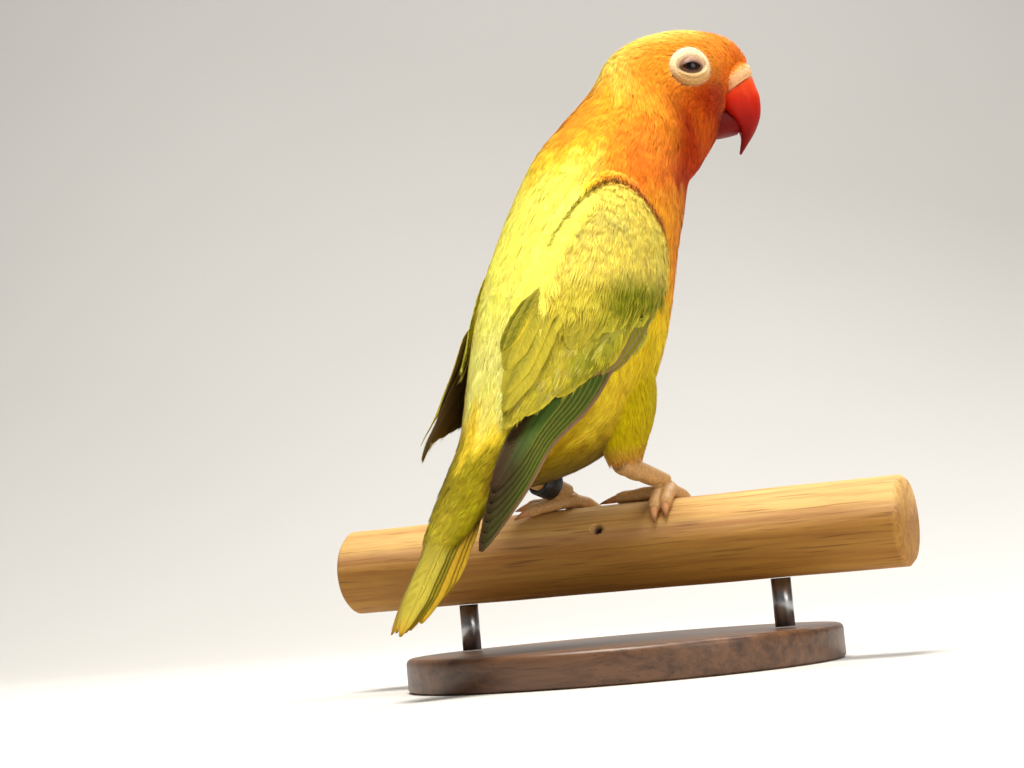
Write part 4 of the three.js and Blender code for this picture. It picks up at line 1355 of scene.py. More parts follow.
def wing_feathers(side):
    bed = wing_bed(side)
    close = wing_bed(side, stands=False)
    cover = wing_cover(side)
    tips = WING_TIPS[side]
    lean = math.radians(13)
    flat = math.radians(2)

    def primary(share, root, tip):
        shape = large_feather(close, root, tip, 3, lean, 0.35, camber=0.2, blunt=0.5, barbs=0.6)
        edge, start = (PINKISH, 0.35) if share > 0.95 else (PRIMARY_EDGE, 0.86)
        dusk = 0.95 - 0.3 * share
        return shape, edged(PRIMARY, edge, PRIMARY_INNER, start, 0.99, dusk=dusk, shaft_dark=0.3)

    def secondary(share, root, tip):
        half = RANDOM.uniform(2.9, 3.5)
        shape = large_feather(bed, root, tip, half, flat, 0.15, camber=0.06, blunt=0.45, barbs=6.0)
        base = mix(SECONDARY, COVERT_OLIVE, smooth(np.array(share), 0.4, 0.8) * 0.8)
        inner = mix(base, PRIMARY_INNER, 0.15)
        return shape, edged(base, SECONDARY_EDGE, inner, 0.5, 0.96, blotch=0.6)

    def tertial(share, root, tip):
        innermost = share < 0.1
        half = 2.3 if innermost else 3
        shape = large_feather(bed, root, tip, half, flat, 0.1, camber=0.1, blunt=0.4, barbs=6.0)
        base, edge, blotch = (TERTIAL, YELLOW, 0.05) if innermost else (SECONDARY, SECONDARY_EDGE, 0.6)
        return shape, edged(base, edge, base * 0.85, 0.6, 0.97, blotch=blotch)

    def greater_covert(share, root, tip):
        half = RANDOM.uniform(2.8, 3.5)
        shape = large_feather(cover, root, tip, half, flat, 0.1, camber=0.06, blunt=0.55, barbs=9.0)
        outer = smooth(np.array(share), 0.35, 0.65)
        base = mix(mix(SECONDARY, COVERT_PALE, 0.25), COVERT_OLIVE, outer)
        edge = mix(SECONDARY_EDGE, COVERT_EDGE, outer)
        return shape, edged(base, edge, base * 0.9, 0.6, 0.97, blotch=0.6 - 0.25 * share)

    def primary_covert(share, root, tip):
        shape = large_feather(close, root, tip, 1.8, lean, 0.2, camber=0.25, barbs=2.0)
        return shape, edged(COVERT_OLIVE, PINKISH, PRIMARY_INNER, 0.5, 0.9)

    for kind, make, count, roots, ends, stray in (
        ("primaries", primary, 7, ((46, 62, 0.9), (46, 86, 0.8)), tips["primaries"], 0.3),
        ("secondaries", secondary, 11, ((42, 40, 1.4), (42, 84, 1.2)), tips["secondaries"], 1.4),
        ("tertials", tertial, 4, ((49, 27, 2.4), (42, 44, 2.4)), tips["tertials"], 0.4),
        ("greater_coverts", greater_covert, 11, ((36, 38, -0.6), (33, 98, -0.6)), GREATER_TIPS, 1.8),
        ("primary_coverts", primary_covert, 6, ((40, 82, 0.6), (38, 100, 0.4)), WRIST_TIPS, 0.3),
    ):
        feathers = [make(*place) for place in tier_places(count, roots, ends, stray)]
        feather_piece(f"{kind}_{SIDE_NAMES[side]}", feathers)


def soft_webs(side):
    """Loose webs of the secondaries, which soften their edges with streaks along the shafts."""
    bed = wing_bed(side)
    (inner_down, inner_angle, _), (outer_down, outer_angle, _) = WING_TIPS[side]["secondaries"]
    count = 1000
    share = RANDOM.random(count)
    along = RANDOM.uniform(0.1, 0.9, count)
    tip = inner_down + (outer_down - inner_down) * share - 5.5
    down = 43 + (tip - 43) * along
    start, end = 40 + 44 * share, inner_angle + (outer_angle - inner_angle) * share
    roots = np.stack([down, start + (end - start) * along], -1)
    height = 1.3 + 1.15 * along
    tufts = lay_tufts(bed, roots, 1, 6.5, 1.8, 7, height, height + 0.42, 0.0, 0.04, 0.08)
    every = np.ones(tufts["shape"])
    tone = RANDOM.random((count, 1)) * every
    colours = mix(all_of(SECONDARY, tufts), SECONDARY_EDGE, tone)
    colours = mix(colours, COVERT_GREY, 0.6 * (RANDOM.random((count, 1)) > 0.75) * every)
    colours = mix(colours, COVERT_OLIVE, smooth(share, 0.4, 0.9)[:, None] * 0.7 * (1.2 - tone))
    tint = tuft_tint(tufts, colours, 0.05, 0.12, 0.9)
    tuft_piece(f"soft_webs_{SIDE_NAMES[side]}", tufts, tint, wing_unwrap(roots, 110), "wing_plumage")


# Places on the wing are distances down and angles: its upper border, the colours round it, and grey
# patches as (down, angle, reach down, reach in angle, amount)

RIM_LINE = [
    (38, 25), (31, 31), (26.5, 37), (22.5, 44), (20, 52), (19.3, 62), (20.3, 76), (22.5, 90), (26, 101)]
RIM_COLOURS = [(28, MANTLE_LIT), (40, YELLOW), (48, GOLD), (60, AMBER), (76, ORANGE), (100, AMBER)]
GREY_PATCHES = [(26, 60, 2.6, 9, 0.7), (30, 48, 3, 7, 0.55), (34, 98, 6, 14, 0.75), (38, 78, 4, 9, 0.5)]


def wing_coat(side):
    """Lesser and median coverts over the arm, whose top still wears the body's colours."""
    cover = wing_cover(side)
    roots = candidates(cover, (15, 46), (20, 112), 60000)
    low, high = arm_rims(roots[:, 0])
    inside = (roots[:, 1] > low - 3) & (roots[:, 1] < high + 1)
    limit = 42 - 0.22 * np.maximum(roots[:, 1] - 44, 0) + RANDOM.normal(0, 2.4, len(roots))
    roots = roots[inside & (roots[:, 0] < limit)]
    points = cover(roots[:, 0], roots[:, 1], 0.0)
    roots = roots[scatter(points, np.interp(roots[:, 0], [15, 24, 42], [0.6, 0.75, 1.05]))]
    length = np.interp(roots[:, 0], [15, 24, 34, 42], [3, 4.8, 6.8, 9])
    fan = np.radians(np.interp(roots[:, 1], [30, 65, 100], [-12, 0, 10])) * -side
    tufts = lay_tufts(cover, roots, 1, length, length * 0.4, 10, -1.0, 0.25, fan, ruffle=0.1)
    angle = 0.5 * tufts["second"] + 0.5 * roots[:, 1:]
    rim = arm_rims(0.5 * tufts["first"] + 0.5 * roots[:, :1])[0]
    grey = np.zeros(len(roots))
    for place_down, place_angle, long, wide, amount in GREY_PATCHES:
        along, across = (roots[:, 0] - place_down) / long, (roots[:, 1] - place_angle) / wide
        grey = np.maximum(grey, amount * np.exp(-(along**2 + across**2)))
    grey = np.clip(grey + RANDOM.normal(0.08, 0.12, len(roots)), 0, 0.9)
    centre = 0.6 + 0.4 * (1 - smooth(np.abs(tufts["over"]), 0.1, 0.9))
    colours = mix(all_of(COVERT_PALE, tufts), COVERT_GREY, grey[:, None] * centre)
    colours = mix(colours, MANTLE_LIT, (1 - smooth(angle - rim, 0, 12)) * 0.8)
    outward = smooth(angle, 56, 78)
    streak = RANDOM.random((len(roots), tufts["strands"].max() + 2))[:, tufts["strands"]] > 0.6
    below = mix(SECONDARY_EDGE, COVERT_OLIVE, outward * (1 - 0.6 * streak))
    turn = 43 - 0.2 * (roots[:, 1:] - 44)
    colours = mix(colours, below, smooth(tufts["first"], turn, turn + 6) * (0.75 + 0.25 * outward))
    above = stops_colour(angle, RIM_COLOURS)
    colours = mix(above, colours, smooth(tufts["first"] - rim_down(angle), -0.8, 0.8))
    tint = tuft_tint(tufts, colours, 0.04, 0.1, 0.86)
    tuft_piece(f"coverts_{SIDE_NAMES[side]}", tufts, tint, wing_unwrap(roots, 60), "wing_plumage")


def rim_down(angle):
    """How far down the wing its upper border lies, at an angle from the back."""
    downs, angles = zip(*RIM_LINE)
    return np.interp(angle, angles, downs)


def rim_barbs(side):
    """Dark hair-like barbs along the wing's upper border, their dark partly painted shade where the mantle
    overlaps the wing.
    """
    cover = wing_cover(side)
    count = 560
    share = np.clip(np.linspace(0.02, 0.98, count) + RANDOM.normal(0, 0.006, count), 0, 1)
    roots = along_curve(RIM_LINE, share) + RANDOM.normal(0, 1, (count, 2)) * np.array([0.3, 0.7])
    fan = np.interp(share, [0, 0.4, 0.6, 1], [55, 15, -10, -45]) + RANDOM.normal(0, 22, count)
    fan = np.radians(fan) * side
    length = RANDOM.uniform(0.9, 1.9, count)
    high = np.interp(share, [0, 0.35, 0.45], [0.8, 0.8, 0.45])
    tufts = lay_tufts(cover, roots, -1, length, 0.17, 2, high - 0.35, high, fan, 0.0, 0.12)
    every = np.ones(tufts["shape"])
    strength = np.interp(share, [0, 0.15, 0.5, 1], [0.35, 0.55, 0.8, 0.75])[:, None]
    dark = np.clip(strength + RANDOM.normal(0, 0.25, (count, 1)), 0, 1) * every
    pale = stops_colour(roots[:, 1:] * every, RIM_COLOURS)
    tint = tuft_tint(tufts, mix(pale, BARB_DARK_AND_SHADE, dark))
    tuft_piece(f"rim_barbs_{SIDE_NAMES[side]}", tufts, tint, wing_unwrap(roots, 60), "wing_plumage")


def scapulars(side):
    """Long yellow feathers of the back that fall over the wing's inner edge."""
    cover = wing_cover(side)
    count = 900
    down = RANDOM.uniform(21, 50, count)
    rim = arm_rims(down)[0]
    roots = np.stack([down, rim + RANDOM.uniform(-7, 5, count)], -1)
    fan = np.radians(RANDOM.uniform(0, 14, count)) * -side
    length = np.interp(down, [21, 50], [7, 10])
    tufts = lay_tufts(cover, roots, 1, length, length * 0.3, 9, -0.4, 0.45, fan)
    edge = smooth(tufts["second"] - rim[:, None], 2, 14)
    tint = tuft_tint(tufts, mix(all_of(MANTLE_LIT, tufts), COVERT_PALE, edge), 0.05, 0.09, 0.9)
    tuft_piece(f"scapulars_{SIDE_NAMES[side]}", tufts, tint, wing_unwrap(roots, 60), "yellow_plumage")


# How far aside the tips of each side's tail feathers lie, from the middle pair out
TAIL_SPREAD = {1: [0.6, 2.5, 2.9, 4.7, 5.1, 5.5], -1: [1.2, 1.6, 2.1, 3.6, 4.0, 4.6]}


def add_tail():
    feathers = []
    for side in (1, -1):
        for pair, aside in enumerate(TAIL_SPREAD[side]):
            above = -1.0 - 0.36 * pair - (0.2 if side > 0 else 0)
            root = (6, side * (0.6 + 0.4 * pair), above)
            tip = (TAIL_LENGTH - 0.35 * pair * pair + RANDOM.normal(0, 0.3), side * aside, above)
            tilt = -side * math.radians(4)
            shape = large_feather(tail_bed, root, tip, 3.1, tilt, side * 0.2, camber=0.2, barbs=2.0)
            feathers.append((shape, tail_colour(side, pair)))
    feather_piece("tail_feathers", feathers, 6)


def tail_colour(side, pair):
    if pair > 2:
        base = mix(TAIL_GREEN, YELLOW, np.array(0.25))
        glow = 0.9 if side > 0 else 0.65
    else:
        base = mix(TAIL_GREEN, TAIL_PALE, np.array(0.8 if pair == 0 else 0.1))
        glow = 0.45 if side > 0 and pair > 0 else 0

    def colour(along, across):
        outer = smooth(-side * across, -0.2, 0.4) * (1 - smooth(across, 0.75, 1.0) * (side < 0))
        band = smooth(along, 0.25, 0.45) * (1 - smooth(along, 0.84, 0.95))
        shade = mix(base, TAIL_ORANGE, glow * band * (0.35 + 0.65 * outer))
        shade = mix(shade, TAIL_TIP, 0.7 * smooth(along, 0.86, 1.0))
        shaft = 1 - 0.25 * (np.abs(across) < SHAFT_HALF)
        inner = 1 - 0.25 * smooth(side * across, 0.5, 1.0)
        # Painted shade darkens each feather towards its root, under the coverts.
        return shade * (shaft * inner * (0.7 + 0.3 * smooth(along, 0.3, 0.8)))[:, None]
    return colour


# Bill, cere, eyes and their rings

BILL_TONES = [
    (0, paint(120, 12, 4)), (0.35, paint(160, 14, 6)), (0.7, paint(212, 40, 12)), (0.9, paint(232, 70, 20)),
    (1, paint(238, 92, 32))]
EYE_TONES = [
    (0, paint(14, 6, 4)), (0.36, paint(18, 8, 4)), (0.42, paint(62, 30, 14)), (0.75, paint(56, 28, 12)),
    (1.0, paint(30, 18, 12))]
RING_ROLL = [1.5, 2.2, 2.9, 3.5, 4.0, 4.4, 4.8], [0.1, 0.25, 0.36, 0.34, 0.2, -0.05, -0.4]


def nostril_distance(points, side):
    return np.linalg.norm(points - NOSTRIL_PLACE * np.array([1, side, 1]), axis=1)


def head_piece(name, points, faces, tint, material, node):
    mesh = build_mesh(name, to_row(from_head(points)), faces, tint)
    return add_piece(name, mesh, material, [node])


def add_bill():
    points, faces = form_mesh(UPPER_FORM, 60, 72)
    tint = stops_colour(smooth(points[:, 2], -16, 2), BILL_TONES)
    head_piece("bill_upper_horn", points, faces, tint, HORN, "bill_upper")
    points, faces = form_mesh(LOWER_FORM, 40, 60)
    # The lower bill's red is darkened further as painted shade under the upper bill.
    tint = stops_colour(smooth(points[:, 2], -13, -5), [(0, paint(116, 6, 2)), (1, paint(84, 4, 2))])
    head_piece("bill_lower_horn", points, faces, tint, HORN, "bill_lower")
    points, faces = form_mesh(CERE_FORM, 60, 120)
    for side in (1, -1):
        offset = nostril_distance(points, side)
        pit = np.exp(-(offset / 0.55) ** 2)
        ring = np.exp(-((offset - 0.9) / 0.35) ** 2)
        inward = np.array([-0.75, -0.35 * side, -0.55])
        points = points + inward * (0.9 * pit - 0.22 * ring)[:, None]
    wrinkle = 0.06 * np.sin(points[:, 1] * 5 + 2 * np.sin(points[:, 2] * 3))
    points = points + np.array([0.5, 0, 0.6]) * wrinkle[:, None]
    offset = np.minimum(nostril_distance(points, 1), nostril_distance(points, -1))
    # Painted shade darkens the cere round each nostril pit.
    tint = mix(paint(150, 90, 60), paint(230, 172, 118), smooth(offset, 0.3, 1.0))
    head_piece("cere_skin", points, faces, tint, BARE_SKIN, "cere")


def face_height(x, z, side):
    """How far out the head's surface lies over the eye's frame, at places ahead and up in it."""
    share, angle = pairs(np.linspace(share_of(9.0), 1, 150), side * np.linspace(0.2, 2.6, 150))
    found = to_head(BODY.point(share, angle, 0.0)) - eye_centre(side)
    ahead, look, up = eye_axes(side)
    seen = np.stack([found @ ahead, found @ up], -1)
    out = found @ look
    near = (np.abs(seen) < EYE_REACH).all(1) & (out > -5)
    seen, out = seen[near], out[near]
    tree = tree_of([(a, b, 0) for a, b in seen])
    heights = []
    for a, b in zip(x, z):
        close = tree.find_n((a, b, 0), 6)
        weights = np.array([1 / (gap + 0.02) for _, _, gap in close])
        heights.append((out[[number for _, number, _ in close]] * weights).sum() / weights.sum())
    return np.array(heights)


def add_eye(side):
    name = SIDE_NAMES[side]
    rows, columns = 40, 64
    polar, around = pairs(np.linspace(0.02, math.pi - 0.02, rows), round_angles(columns))
    bulge = EYE_RADIUS * (1 + 0.03 * np.exp(-(polar / 0.6) ** 2))
    ball = np.stack([
        bulge * np.sin(polar) * np.cos(around),
        bulge * np.cos(polar) - EYE_DEPTH,
        bulge * np.sin(polar) * np.sin(around),
    ], -1)
    points, faces = capped(ball, rows, columns)
    tint = stops_colour(np.append(polar, [0, math.pi]), EYE_TONES)
    mesh = build_mesh(f"eyeball_{name}", to_row(from_eye(points, side)), faces, tint)
    add_piece(f"eyeball_{name}", mesh, EYE_GLOSS, [f"eye_{name}"])
    add_ring(side, name)


def add_ring(side, name):
    """The bare ring: lids over the ball, and a soft roll of pale skin round them."""
    rows, columns = 36, 144
    out, around = np.meshgrid(np.linspace(0, 1, rows), round_angles(columns), indexing="ij")
    wide, high = LID_OPENING[0] / 2 * 0.86, LID_OPENING[1] / 2
    sine, cosine = np.sin(around), np.cos(around)
    lid_x = wide * cosine
    lid_z = np.where(sine > 0, 0.5 * high, 0.9 * high) * sine * (1 - 0.3 * cosine**2) - 0.1
    x = lid_x + (RING_RADIUS * 1.04 * cosine - lid_x) * out
    z = lid_z + (RING_RADIUS * 0.98 * sine - lid_z) * out
    round_eye = np.sqrt((x / 2.3) ** 2 + (z / 1.5) ** 2)
    radius = np.sqrt(x * x + z * z)
    over_ball = (EYE_RADIUS + 0.26) ** 2 - np.minimum(radius, 3.0) ** 2
    ball = -EYE_DEPTH + np.sqrt(np.maximum(over_ball, 0))
    skin = face_height(x.ravel(), z.ravel(), side).reshape(x.shape)
    roll = np.interp(radius, *RING_ROLL)
    fold = np.sin((radius + 0.15 * np.sin(3 * around)) * 5.2)
    folds = 0.05 * fold * smooth(radius, 2.2, 2.8)
    pebbles = 0.035 * np.sin(around * 30 + 3 * np.sin(out * 9)) * smooth(radius, 2.4, 3.0)
    y = ball + (skin + roll + folds + pebbles - ball) * smooth(round_eye, 1.0, 1.6)
    y = y + 0.1 * np.exp(-(out / 0.05) ** 2)
    y = np.where(out > 0.985, y - 0.7, y)
    inner = np.stack([lid_x[0] * 1.02, np.full(columns, -1.0), lid_z[0] * 1.02], -1)
    points = np.vstack([inner, np.stack([x.ravel(), y.ravel(), z.ravel()], -1)])
    faces = halved(grid_faces(rows + 1, columns, True))
    # Painted shade: the ring's cream darkens towards its bottom and in its fold troughs.
    cream = mix(RING_PAINTED_SHADE, RING_CREAM, smooth(z, -3.5, 1.0))
    cream = cream * (1 - 0.1 * smooth(-fold, 0.3, 1.0))[..., None]
    lid = mix(LID_EDGE, LID_SKIN, smooth(out, 0.02, 0.22) * smooth(z, -0.2, 0.5))
    tint = mix(lid, cream, smooth(round_eye, 1.0, 1.45)).reshape(-1, 3)
    # Painted shade: the lid's inner rim, tucked in towards the ball, is dark brown.
    tint = np.vstack([np.broadcast_to(paint(60, 40, 30), (columns, 3)), tint])
    mesh = build_mesh(f"eye_skin_{name}", to_row(from_eye(points, side)), faces, tint)
    add_piece(f"eye_skin_{name}", mesh, BARE_SKIN, [f"eye_ring_{name}"])


# Legs and feet

KNUCKLE_PLACES = [0, 0.15, 0.3, 0.45, 0.6, CLAW_SHARE]
KNUCKLE_SIZES = [1, 0.97, 1.06, 0.9, 0.98, 0.72]
SOLE_SIZE = np.array([2.3, 2.5, 1.95])
SOLE_HEIGHT = 1.7


def tube_points(route, ups, radius, rows, columns, relief=None, start=0.0, end=1.0):
    """A tube along a route. radius is a function of the share, and relief of the share and angle."""
    share = np.linspace(start, end, rows)
    middle = along_curve(route, share)
    way = np.gradient(middle, axis=0)
    way /= np.linalg.norm(way, axis=-1, keepdims=True)
    up = along_curve(ups, share)
    up = up - way * (up * way).sum(-1, keepdims=True)
    up /= np.linalg.norm(up, axis=-1, keepdims=True)
    aside = np.cross(way, up)
    angle = round_angles(columns)
    size = radius(share)[:, None] * np.ones(columns)[None]
    if relief is not None:
        size = size * relief(share[:, None], angle[None])
    points = middle[:, None] + size[..., None] * (
        np.cos(angle)[None, :, None] * up[:, None] + np.sin(angle)[None, :, None] * aside[:, None])
    return capped(points.reshape(-1, 3), rows, columns)


def shank_route(side):
    rows = []
    for number, (x, z) in enumerate(SHANK):
        share = HEEL_SHARE + (1 - HEEL_SHARE) * number / (len(SHANK) - 1)
        ahead, aside = leg_shift(side, share)
        rows.append([x + ahead, aside, z])
    return np.array(rows)


def toe_route(start, end, height):
    """A toe's way round the dowel between two places (along, angle), and which way is up on it."""
    share = np.linspace(0, 1, 13)
    along = start[0] + (end[0] - start[0]) * share
    angle = np.radians(start[1] + (end[1] - start[1]) * share)
    reach = PERCH_RADIUS + GAP + height(share)
    points = np.stack([along, reach * np.sin(angle), reach * np.cos(angle)], -1)
    ups = np.stack([0 * along, np.sin(angle), np.cos(angle)], -1)
    return from_dowel(points), from_dowel(ups)


def scutes(plates):
    """Overlapping plates on a toe's upper side and soft pads under it."""
    def relief(share, angle):
        step = (share * plates) % 1
        top = smooth(np.cos(angle), 0.1, 0.6)
        plate = 0.06 * step**2 * top - 0.03 * (step > 0.9) * top
        pads = 0.1 * np.abs(np.sin(share * math.pi * 3.5)) * smooth(-np.cos(angle), 0.2, 0.8)
        return 1 + plate + pads
    return relief


def foot_tint(points):
    x, y, z = points.T
    wave = 0.5 + 0.4 * np.sin(5.3 * x + 2 * np.sin(3.1 * z)) * np.sin(4.7 * y + 2 * np.sin(2.9 * x))
    return mix(paint(184, 138, 84), paint(208, 164, 104), wave)


def add_claw(name, start, end):
    def hump(share):
        return 0.62 * TOE_RADIUS + 0.7 * np.sin(math.pi * share) * (share > 0.5) - 0.45 * share

    def taper(share):
        return np.interp(share, [CLAW_SHARE, 0.8, 0.9, 1.0], [0.85, 0.7, 0.44, 0.08])

    rows, columns = 36, 24
    route, ups = toe_route(start, end, hump)
    points, faces = tube_points(route, ups, taper, rows, columns, None, CLAW_SHARE - 0.01, 1.0)
    reach = np.append(np.linspace(0, 1, rows).repeat(columns), [0, 1])
    tint = mix(paint(206, 150, 104), paint(140, 90, 54), smooth(reach, 0.3, 1.0))
    mesh = build_mesh(f"claw_horn_{name}", to_row(points), faces, tint)
    add_piece(f"claw_horn_{name}", mesh, HORN, [f"claw_{name}"])


def toe_height(share):
    return TOE_RADIUS * (1 - 0.2 * share / CLAW_SHARE)


def toe_girth(share):
    return TOE_RADIUS * np.interp(share, KNUCKLE_PLACES, KNUCKLE_SIZES)


def shank_girth(share):
    return np.interp(share, [0, 0.5, 1], SHANK_RADII)


def add_foot(side):
    name = SIDE_NAMES[side]
    parts = []
    for toe, (start, end) in TOES[side].items():
        route, ups = toe_route(start, end, toe_height)
        parts.append(tube_points(route, ups, toe_girth, 90, 32, scutes(22), 0.0, CLAW_SHARE))
        add_claw(f"{toe}_{name}", start, end)
    rows, columns = 24, 40
    polar, around = pairs(np.linspace(0.02, math.pi - 0.02, rows), round_angles(columns))
    wide = np.sin(polar)
    ball = np.stack([wide * np.cos(around), wide * np.sin(around), np.cos(polar)], -1)
    pad = ball * SOLE_SIZE + np.array([FOOT_ALONG[side], 0, PERCH_RADIUS + GAP + SOLE_HEIGHT])
    parts.append(capped(from_dowel(pad), rows, columns))
    route = shank_route(side)
    ups = np.tile([[0.2, 0, 1.0]], (len(route), 1))
    parts.append(tube_points(route, ups, shank_girth, 90, 36, scutes(20)))
    foot = fuse(f"foot_parts_{name}", parts, 0.22, 3)
    set_tint(foot, foot_tint(row_points(foot)))
    add_piece(f"foot_skin_{name}", foot, SCALY_SKIN, [f"foot_{name}", f"shank_{name}"])


def fuse(name, parts, voxel, rounds):
    """Overlapping closed forms as one smooth surface."""
    points, faces = joined(parts)
    rough = bpy.data.objects.new(name, build_mesh(name, to_row(points), faces))
    bpy.context.scene.collection.objects.link(rough)
    remesh = rough.modifiers.new("fuse", "REMESH")
    remesh.mode = "VOXEL"
    remesh.voxel_size = voxel * MM
    relax = rough.modifiers.new("relax", "SMOOTH")
    relax.iterations = rounds
    graph = bpy.context.evaluated_depsgraph_get()
    fused = bpy.data.meshes.new_from_object(rough.evaluated_get(graph))
    bpy.data.objects.remove(rough)
    fused.polygons.foreach_set("use_smooth", np.ones(len(fused.polygons), bool))
    fused.materials.clear()
    return fused


def lathe(profile, columns):
    """A ring or disc from a profile of (radius, height), round Z."""
    profile = np.asarray(profile, float)
    angle = round_angles(columns)
    points = np.stack([
        profile[:, None, 0] * np.cos(angle)[None],
        profile[:, None, 0] * np.sin(angle)[None],
        np.repeat(profile[:, 1:2], columns, 1),
    ], -1)
    return points.reshape(-1, 3), grid_faces(len(profile), columns, True)


def add_leg_ring():
    low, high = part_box("leg_ring")
    centre = from_row((np.array(low) + np.array(high)) / 2 / MM)
    route = shank_route(1)
    above, below = (along_curve(route, np.array(BAND_SHARE + step)) for step in (0.02, -0.02))
    way = unit(above - below)
    half = BAND_HEIGHT / 2
    outer = BAND_BORE + BAND_WALL
    bevel = 0.15
    profile = [
        (BAND_BORE, -half), (outer - bevel, -half), (outer, -half + bevel), (outer, half - bevel),
        (outer - bevel, half), (BAND_BORE, half), (BAND_BORE, -half)]
    points, faces = lathe(profile, 64)
    turn = Vector((0, 0, 1)).rotation_difference(Vector(way)).to_matrix()
    points = points @ np.array(turn).T + centre
    material = flecked_material(
        "black_ring", 0.4, 1800.0, 4.0, (0.45, paint(18, 19, 22)), (0.75, paint(52, 54, 58)))
    mesh = build_mesh("leg_band", to_row(points), faces)
    add_piece("leg_band", mesh, material, ["leg_ring"])


# Stand and perch

HOLE_PLACE = (-0.3, -63)
AXIS_HOLE = 0.01


def add_perch():
    bevel = 0.8
    half = PERCH_LENGTH / 2
    radius = PERCH_RADIUS
    profile = [(AXIS_HOLE, -half), (radius - bevel, -half)]
    profile += [(radius, run) for run in np.linspace(-half + bevel, half - bevel, 240)]
    profile += [(radius - bevel, half), (AXIS_HOLE, half)]
    points, faces = lathe(profile, 180)
    angle = np.arctan2(points[:, 1], points[:, 0])
    side = np.hypot(points[:, 0], points[:, 1]) > radius - 0.01
    worn = 0.05 * np.sin(points[:, 2] * 0.21) * np.sin(angle * 3 + points[:, 2] * 0.05)
    crack = -0.07 * smooth(np.sin(angle * 23 + 0.4 * np.sin(points[:, 2] * 0.08)), 0.9, 1.0)
    row = points[:, [2, 1, 0]] * np.array([1, -1, 1])
    round_hole = (math.radians(HOLE_PLACE[1]) - np.arctan2(row[:, 1], row[:, 2])) * radius
    hole = 1 - smooth(np.hypot(row[:, 0] - HOLE_PLACE[0], round_hole), 0.75, 1.25)
    deep = (worn + crack - 1.6 * hole) / radius * side
    points[:, :2] *= (1 + deep)[:, None]
    # Painted light and shade: the dowel is paler on top and darker underneath.
    painted_top_light = smooth(row[:, 2] / radius, -0.1, 0.95)
    tint = mix(np.array([0.62, 0.5, 0.2]), np.array([1.2, 1.32, 2.5]), painted_top_light)
    # Painted shade in the small hole's recess.
    tint = mix(tint, paint(70, 44, 22), hole)
    points = points[:, [2, 1, 0]] * np.array([1, -1, 1]) + np.array([0, 0, PERCH_HEIGHT])
    beech = wood_material(
        "perch_beech", paint(214, 170, 100), paint(178, 126, 60), paint(112, 64, 24), 0.7, 0.6)
    mesh = build_mesh("perch_dowel", points * MM, faces, tint)
    add_piece("perch_dowel", mesh, beech, ["perch"])


def add_stand():
    low, high = (np.array(corner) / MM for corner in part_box("stand_base"))
    radius = (high[0] - low[0]) / 2
    thick = high[2]
    foot_bevel, bevel = 0.6, 1.2
    arc = np.linspace(0, math.pi / 2, 8)
    profile = [(AXIS_HOLE, 0), (radius - foot_bevel, 0), (radius, foot_bevel)]
    profile += [
        (radius - bevel + bevel * math.cos(turn), thick - bevel + bevel * math.sin(turn)) for turn in arc]
    profile += [(AXIS_HOLE, thick)]
    points, faces = lathe(profile, 160)
    walnut = wood_material(
        "stand_walnut", paint(112, 78, 54), paint(64, 42, 30), paint(34, 22, 16), 0.4, 0.4)
    mesh = build_mesh("stand_disc", points * MM, faces, np.ones((len(points), 3)))
    add_piece("stand_disc", mesh, walnut, ["stand_base"])
    steel = steel_material()
    for name in SIDE_NAMES.values():
        low, high = (np.array(corner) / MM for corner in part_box(f"stand_rod_{name}"))
        radius = (high[0] - low[0]) / 2
        centre = (low + high) / 2
        wall = [(radius, low[2]), (radius, high[2])]
        points, faces = lathe([(AXIS_HOLE, low[2]), *wall, (AXIS_HOLE, high[2])], 48)
        points = points + np.array([centre[0], centre[1], 0])
        mesh = build_mesh(f"stand_pin_{name}", points * MM, faces)
        add_piece(f"stand_pin_{name}", mesh, steel, [f"stand_rod_{name}"])


# Floor, light and camera

CAMERA_PLACE = np.array([159.4, -385.2, 18.2])
CAMERA_AZIMUTH = math.radians(25)
CAMERA_RISE = math.radians(6)
CAMERA_ROLL = math.radians(5)
FOCAL_PIXELS = 2000
FRAME_WIDTH = 1024
SENSOR = 36


def add_camera():
    data = bpy.data.cameras.new("photo_camera")
    camera = bpy.data.objects.new("photo_camera", data)
    bpy.context.scene.collection.objects.link(camera)
    data.sensor_width = SENSOR
    data.lens = FOCAL_PIXELS / FRAME_WIDTH * SENSOR
    data.clip_start = 0.01
    ahead = Vector((
        -math.sin(CAMERA_AZIMUTH) * math.cos(CAMERA_RISE),
        math.cos(CAMERA_AZIMUTH) * math.cos(CAMERA_RISE),
        math.sin(CAMERA_RISE),
    ))
    level = Vector((math.cos(CAMERA_AZIMUTH), math.sin(CAMERA_AZIMUTH), 0))
    top = level.cross(ahead)
    right = math.cos(CAMERA_ROLL) * level - math.sin(CAMERA_ROLL) * top
    up = math.cos(CAMERA_ROLL) * top + math.sin(CAMERA_ROLL) * level
    turn = Matrix((right, up, -ahead)).transposed().to_4x4()
    camera.matrix_world = Matrix.Translation(Vector(CAMERA_PLACE * MM)) @ turn
    bpy.context.scene.camera = camera


WARM_WHITE = (1.0, 0.95, 0.86)
WHITE = (1, 1, 1)
MODEL_MIDDLE = (0, 0, 0.08)
LIGHTS = [
    ("key", (0.0, -0.18, 0.95), MODEL_MIDDLE, 0.45, 15, WARM_WHITE),
    ("fill", (0.8, -0.35, 0.4), MODEL_MIDDLE, 0.6, 4.0, WARM_WHITE),
    ("rim", (0.2, 0.6, 0.7), MODEL_MIDDLE, 0.5, 4, WHITE),
    ("backdrop", (-0.3, 0.7, 1.3), (-0.3, 1.3, 0.2), 1.0, 6, WHITE),
]


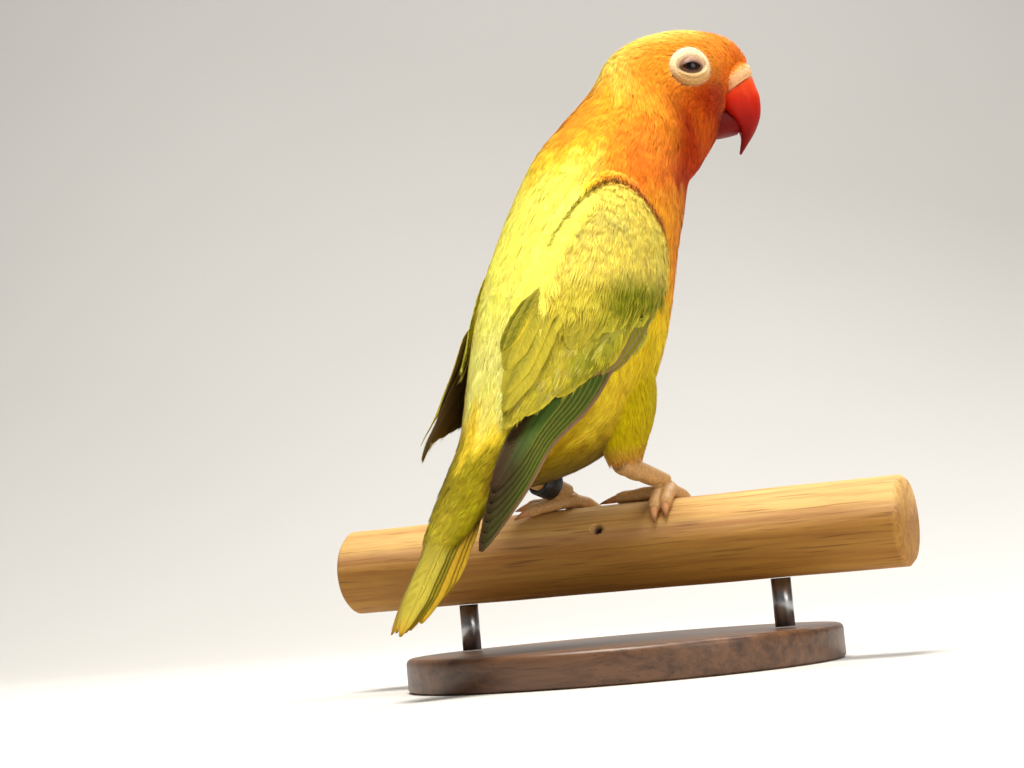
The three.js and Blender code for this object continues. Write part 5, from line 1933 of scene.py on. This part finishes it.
def add_light(name, place, target, size, power, colour):
    data = bpy.data.lights.new(name, "AREA")
    data.shape = "DISK"
    data.size = size
    data.energy = power
    data.color = colour
    light = bpy.data.objects.new(name, data)
    bpy.context.scene.collection.objects.link(light)
    light.location = place
    light.rotation_euler = (Vector(target) - Vector(place)).to_track_quat("-Z", "Y").to_euler()


def add_stage():
    """A plain pale floor that sweeps up behind the model."""
    near, reach, bend, top = -2.0, 0.45, 0.9, 3.0
    turn = np.linspace(0, math.pi / 2, 24)
    flat_run = np.linspace(near, reach, 12)[:-1]
    depth = np.concatenate([flat_run, reach + bend * np.sin(turn), [reach + bend]])
    height = np.concatenate([np.zeros(11), bend * (1 - np.cos(turn)), [top]])
    across = np.linspace(-5, 5, 3)
    ahead = np.array([-math.sin(CAMERA_AZIMUTH), math.cos(CAMERA_AZIMUTH)])
    aside = np.array([math.cos(CAMERA_AZIMUTH), math.sin(CAMERA_AZIMUTH)])
    flat = ahead * depth[:, None, None] + aside * across[None, :, None]
    points = np.concatenate([flat, np.repeat(height[:, None, None], 3, 1)], -1).reshape(-1, 3)
    mesh = build_mesh("floor", points, grid_faces(len(depth), 3, False))
    floor = bpy.data.objects.new("floor", mesh)
    bpy.context.scene.collection.objects.link(floor)
    mesh.materials.append(flecked_material(
        "pale_floor", 0.85, 3.0, 2.0, (0.3, (0.58, 0.57, 0.55)), (0.7, (0.6, 0.59, 0.57))))


def add_lights():
    world = bpy.data.worlds.new("studio")
    bpy.context.scene.world = world
    world.use_nodes = True
    backdrop = world.node_tree.nodes["Background"]
    backdrop.inputs["Color"].default_value = (1.0, 0.98, 0.95, 1)
    backdrop.inputs["Strength"].default_value = 0.15
    for row in LIGHTS:
        add_light(*row)
    bpy.context.scene.view_settings.view_transform = "Standard"


# Assembly

add_camera()
add_stage()
add_lights()
add_skin()
add_body_coat()
for side in (1, -1):
    thigh_coat(side)
    wing_coat(side)
    rim_barbs(side)
    scapulars(side)
    wing_feathers(side)
    soft_webs(side)
    add_eye(side)
    add_foot(side)
add_tail()
add_bill()
add_frontal_tufts()
add_leg_ring()
add_perch()
add_stand()
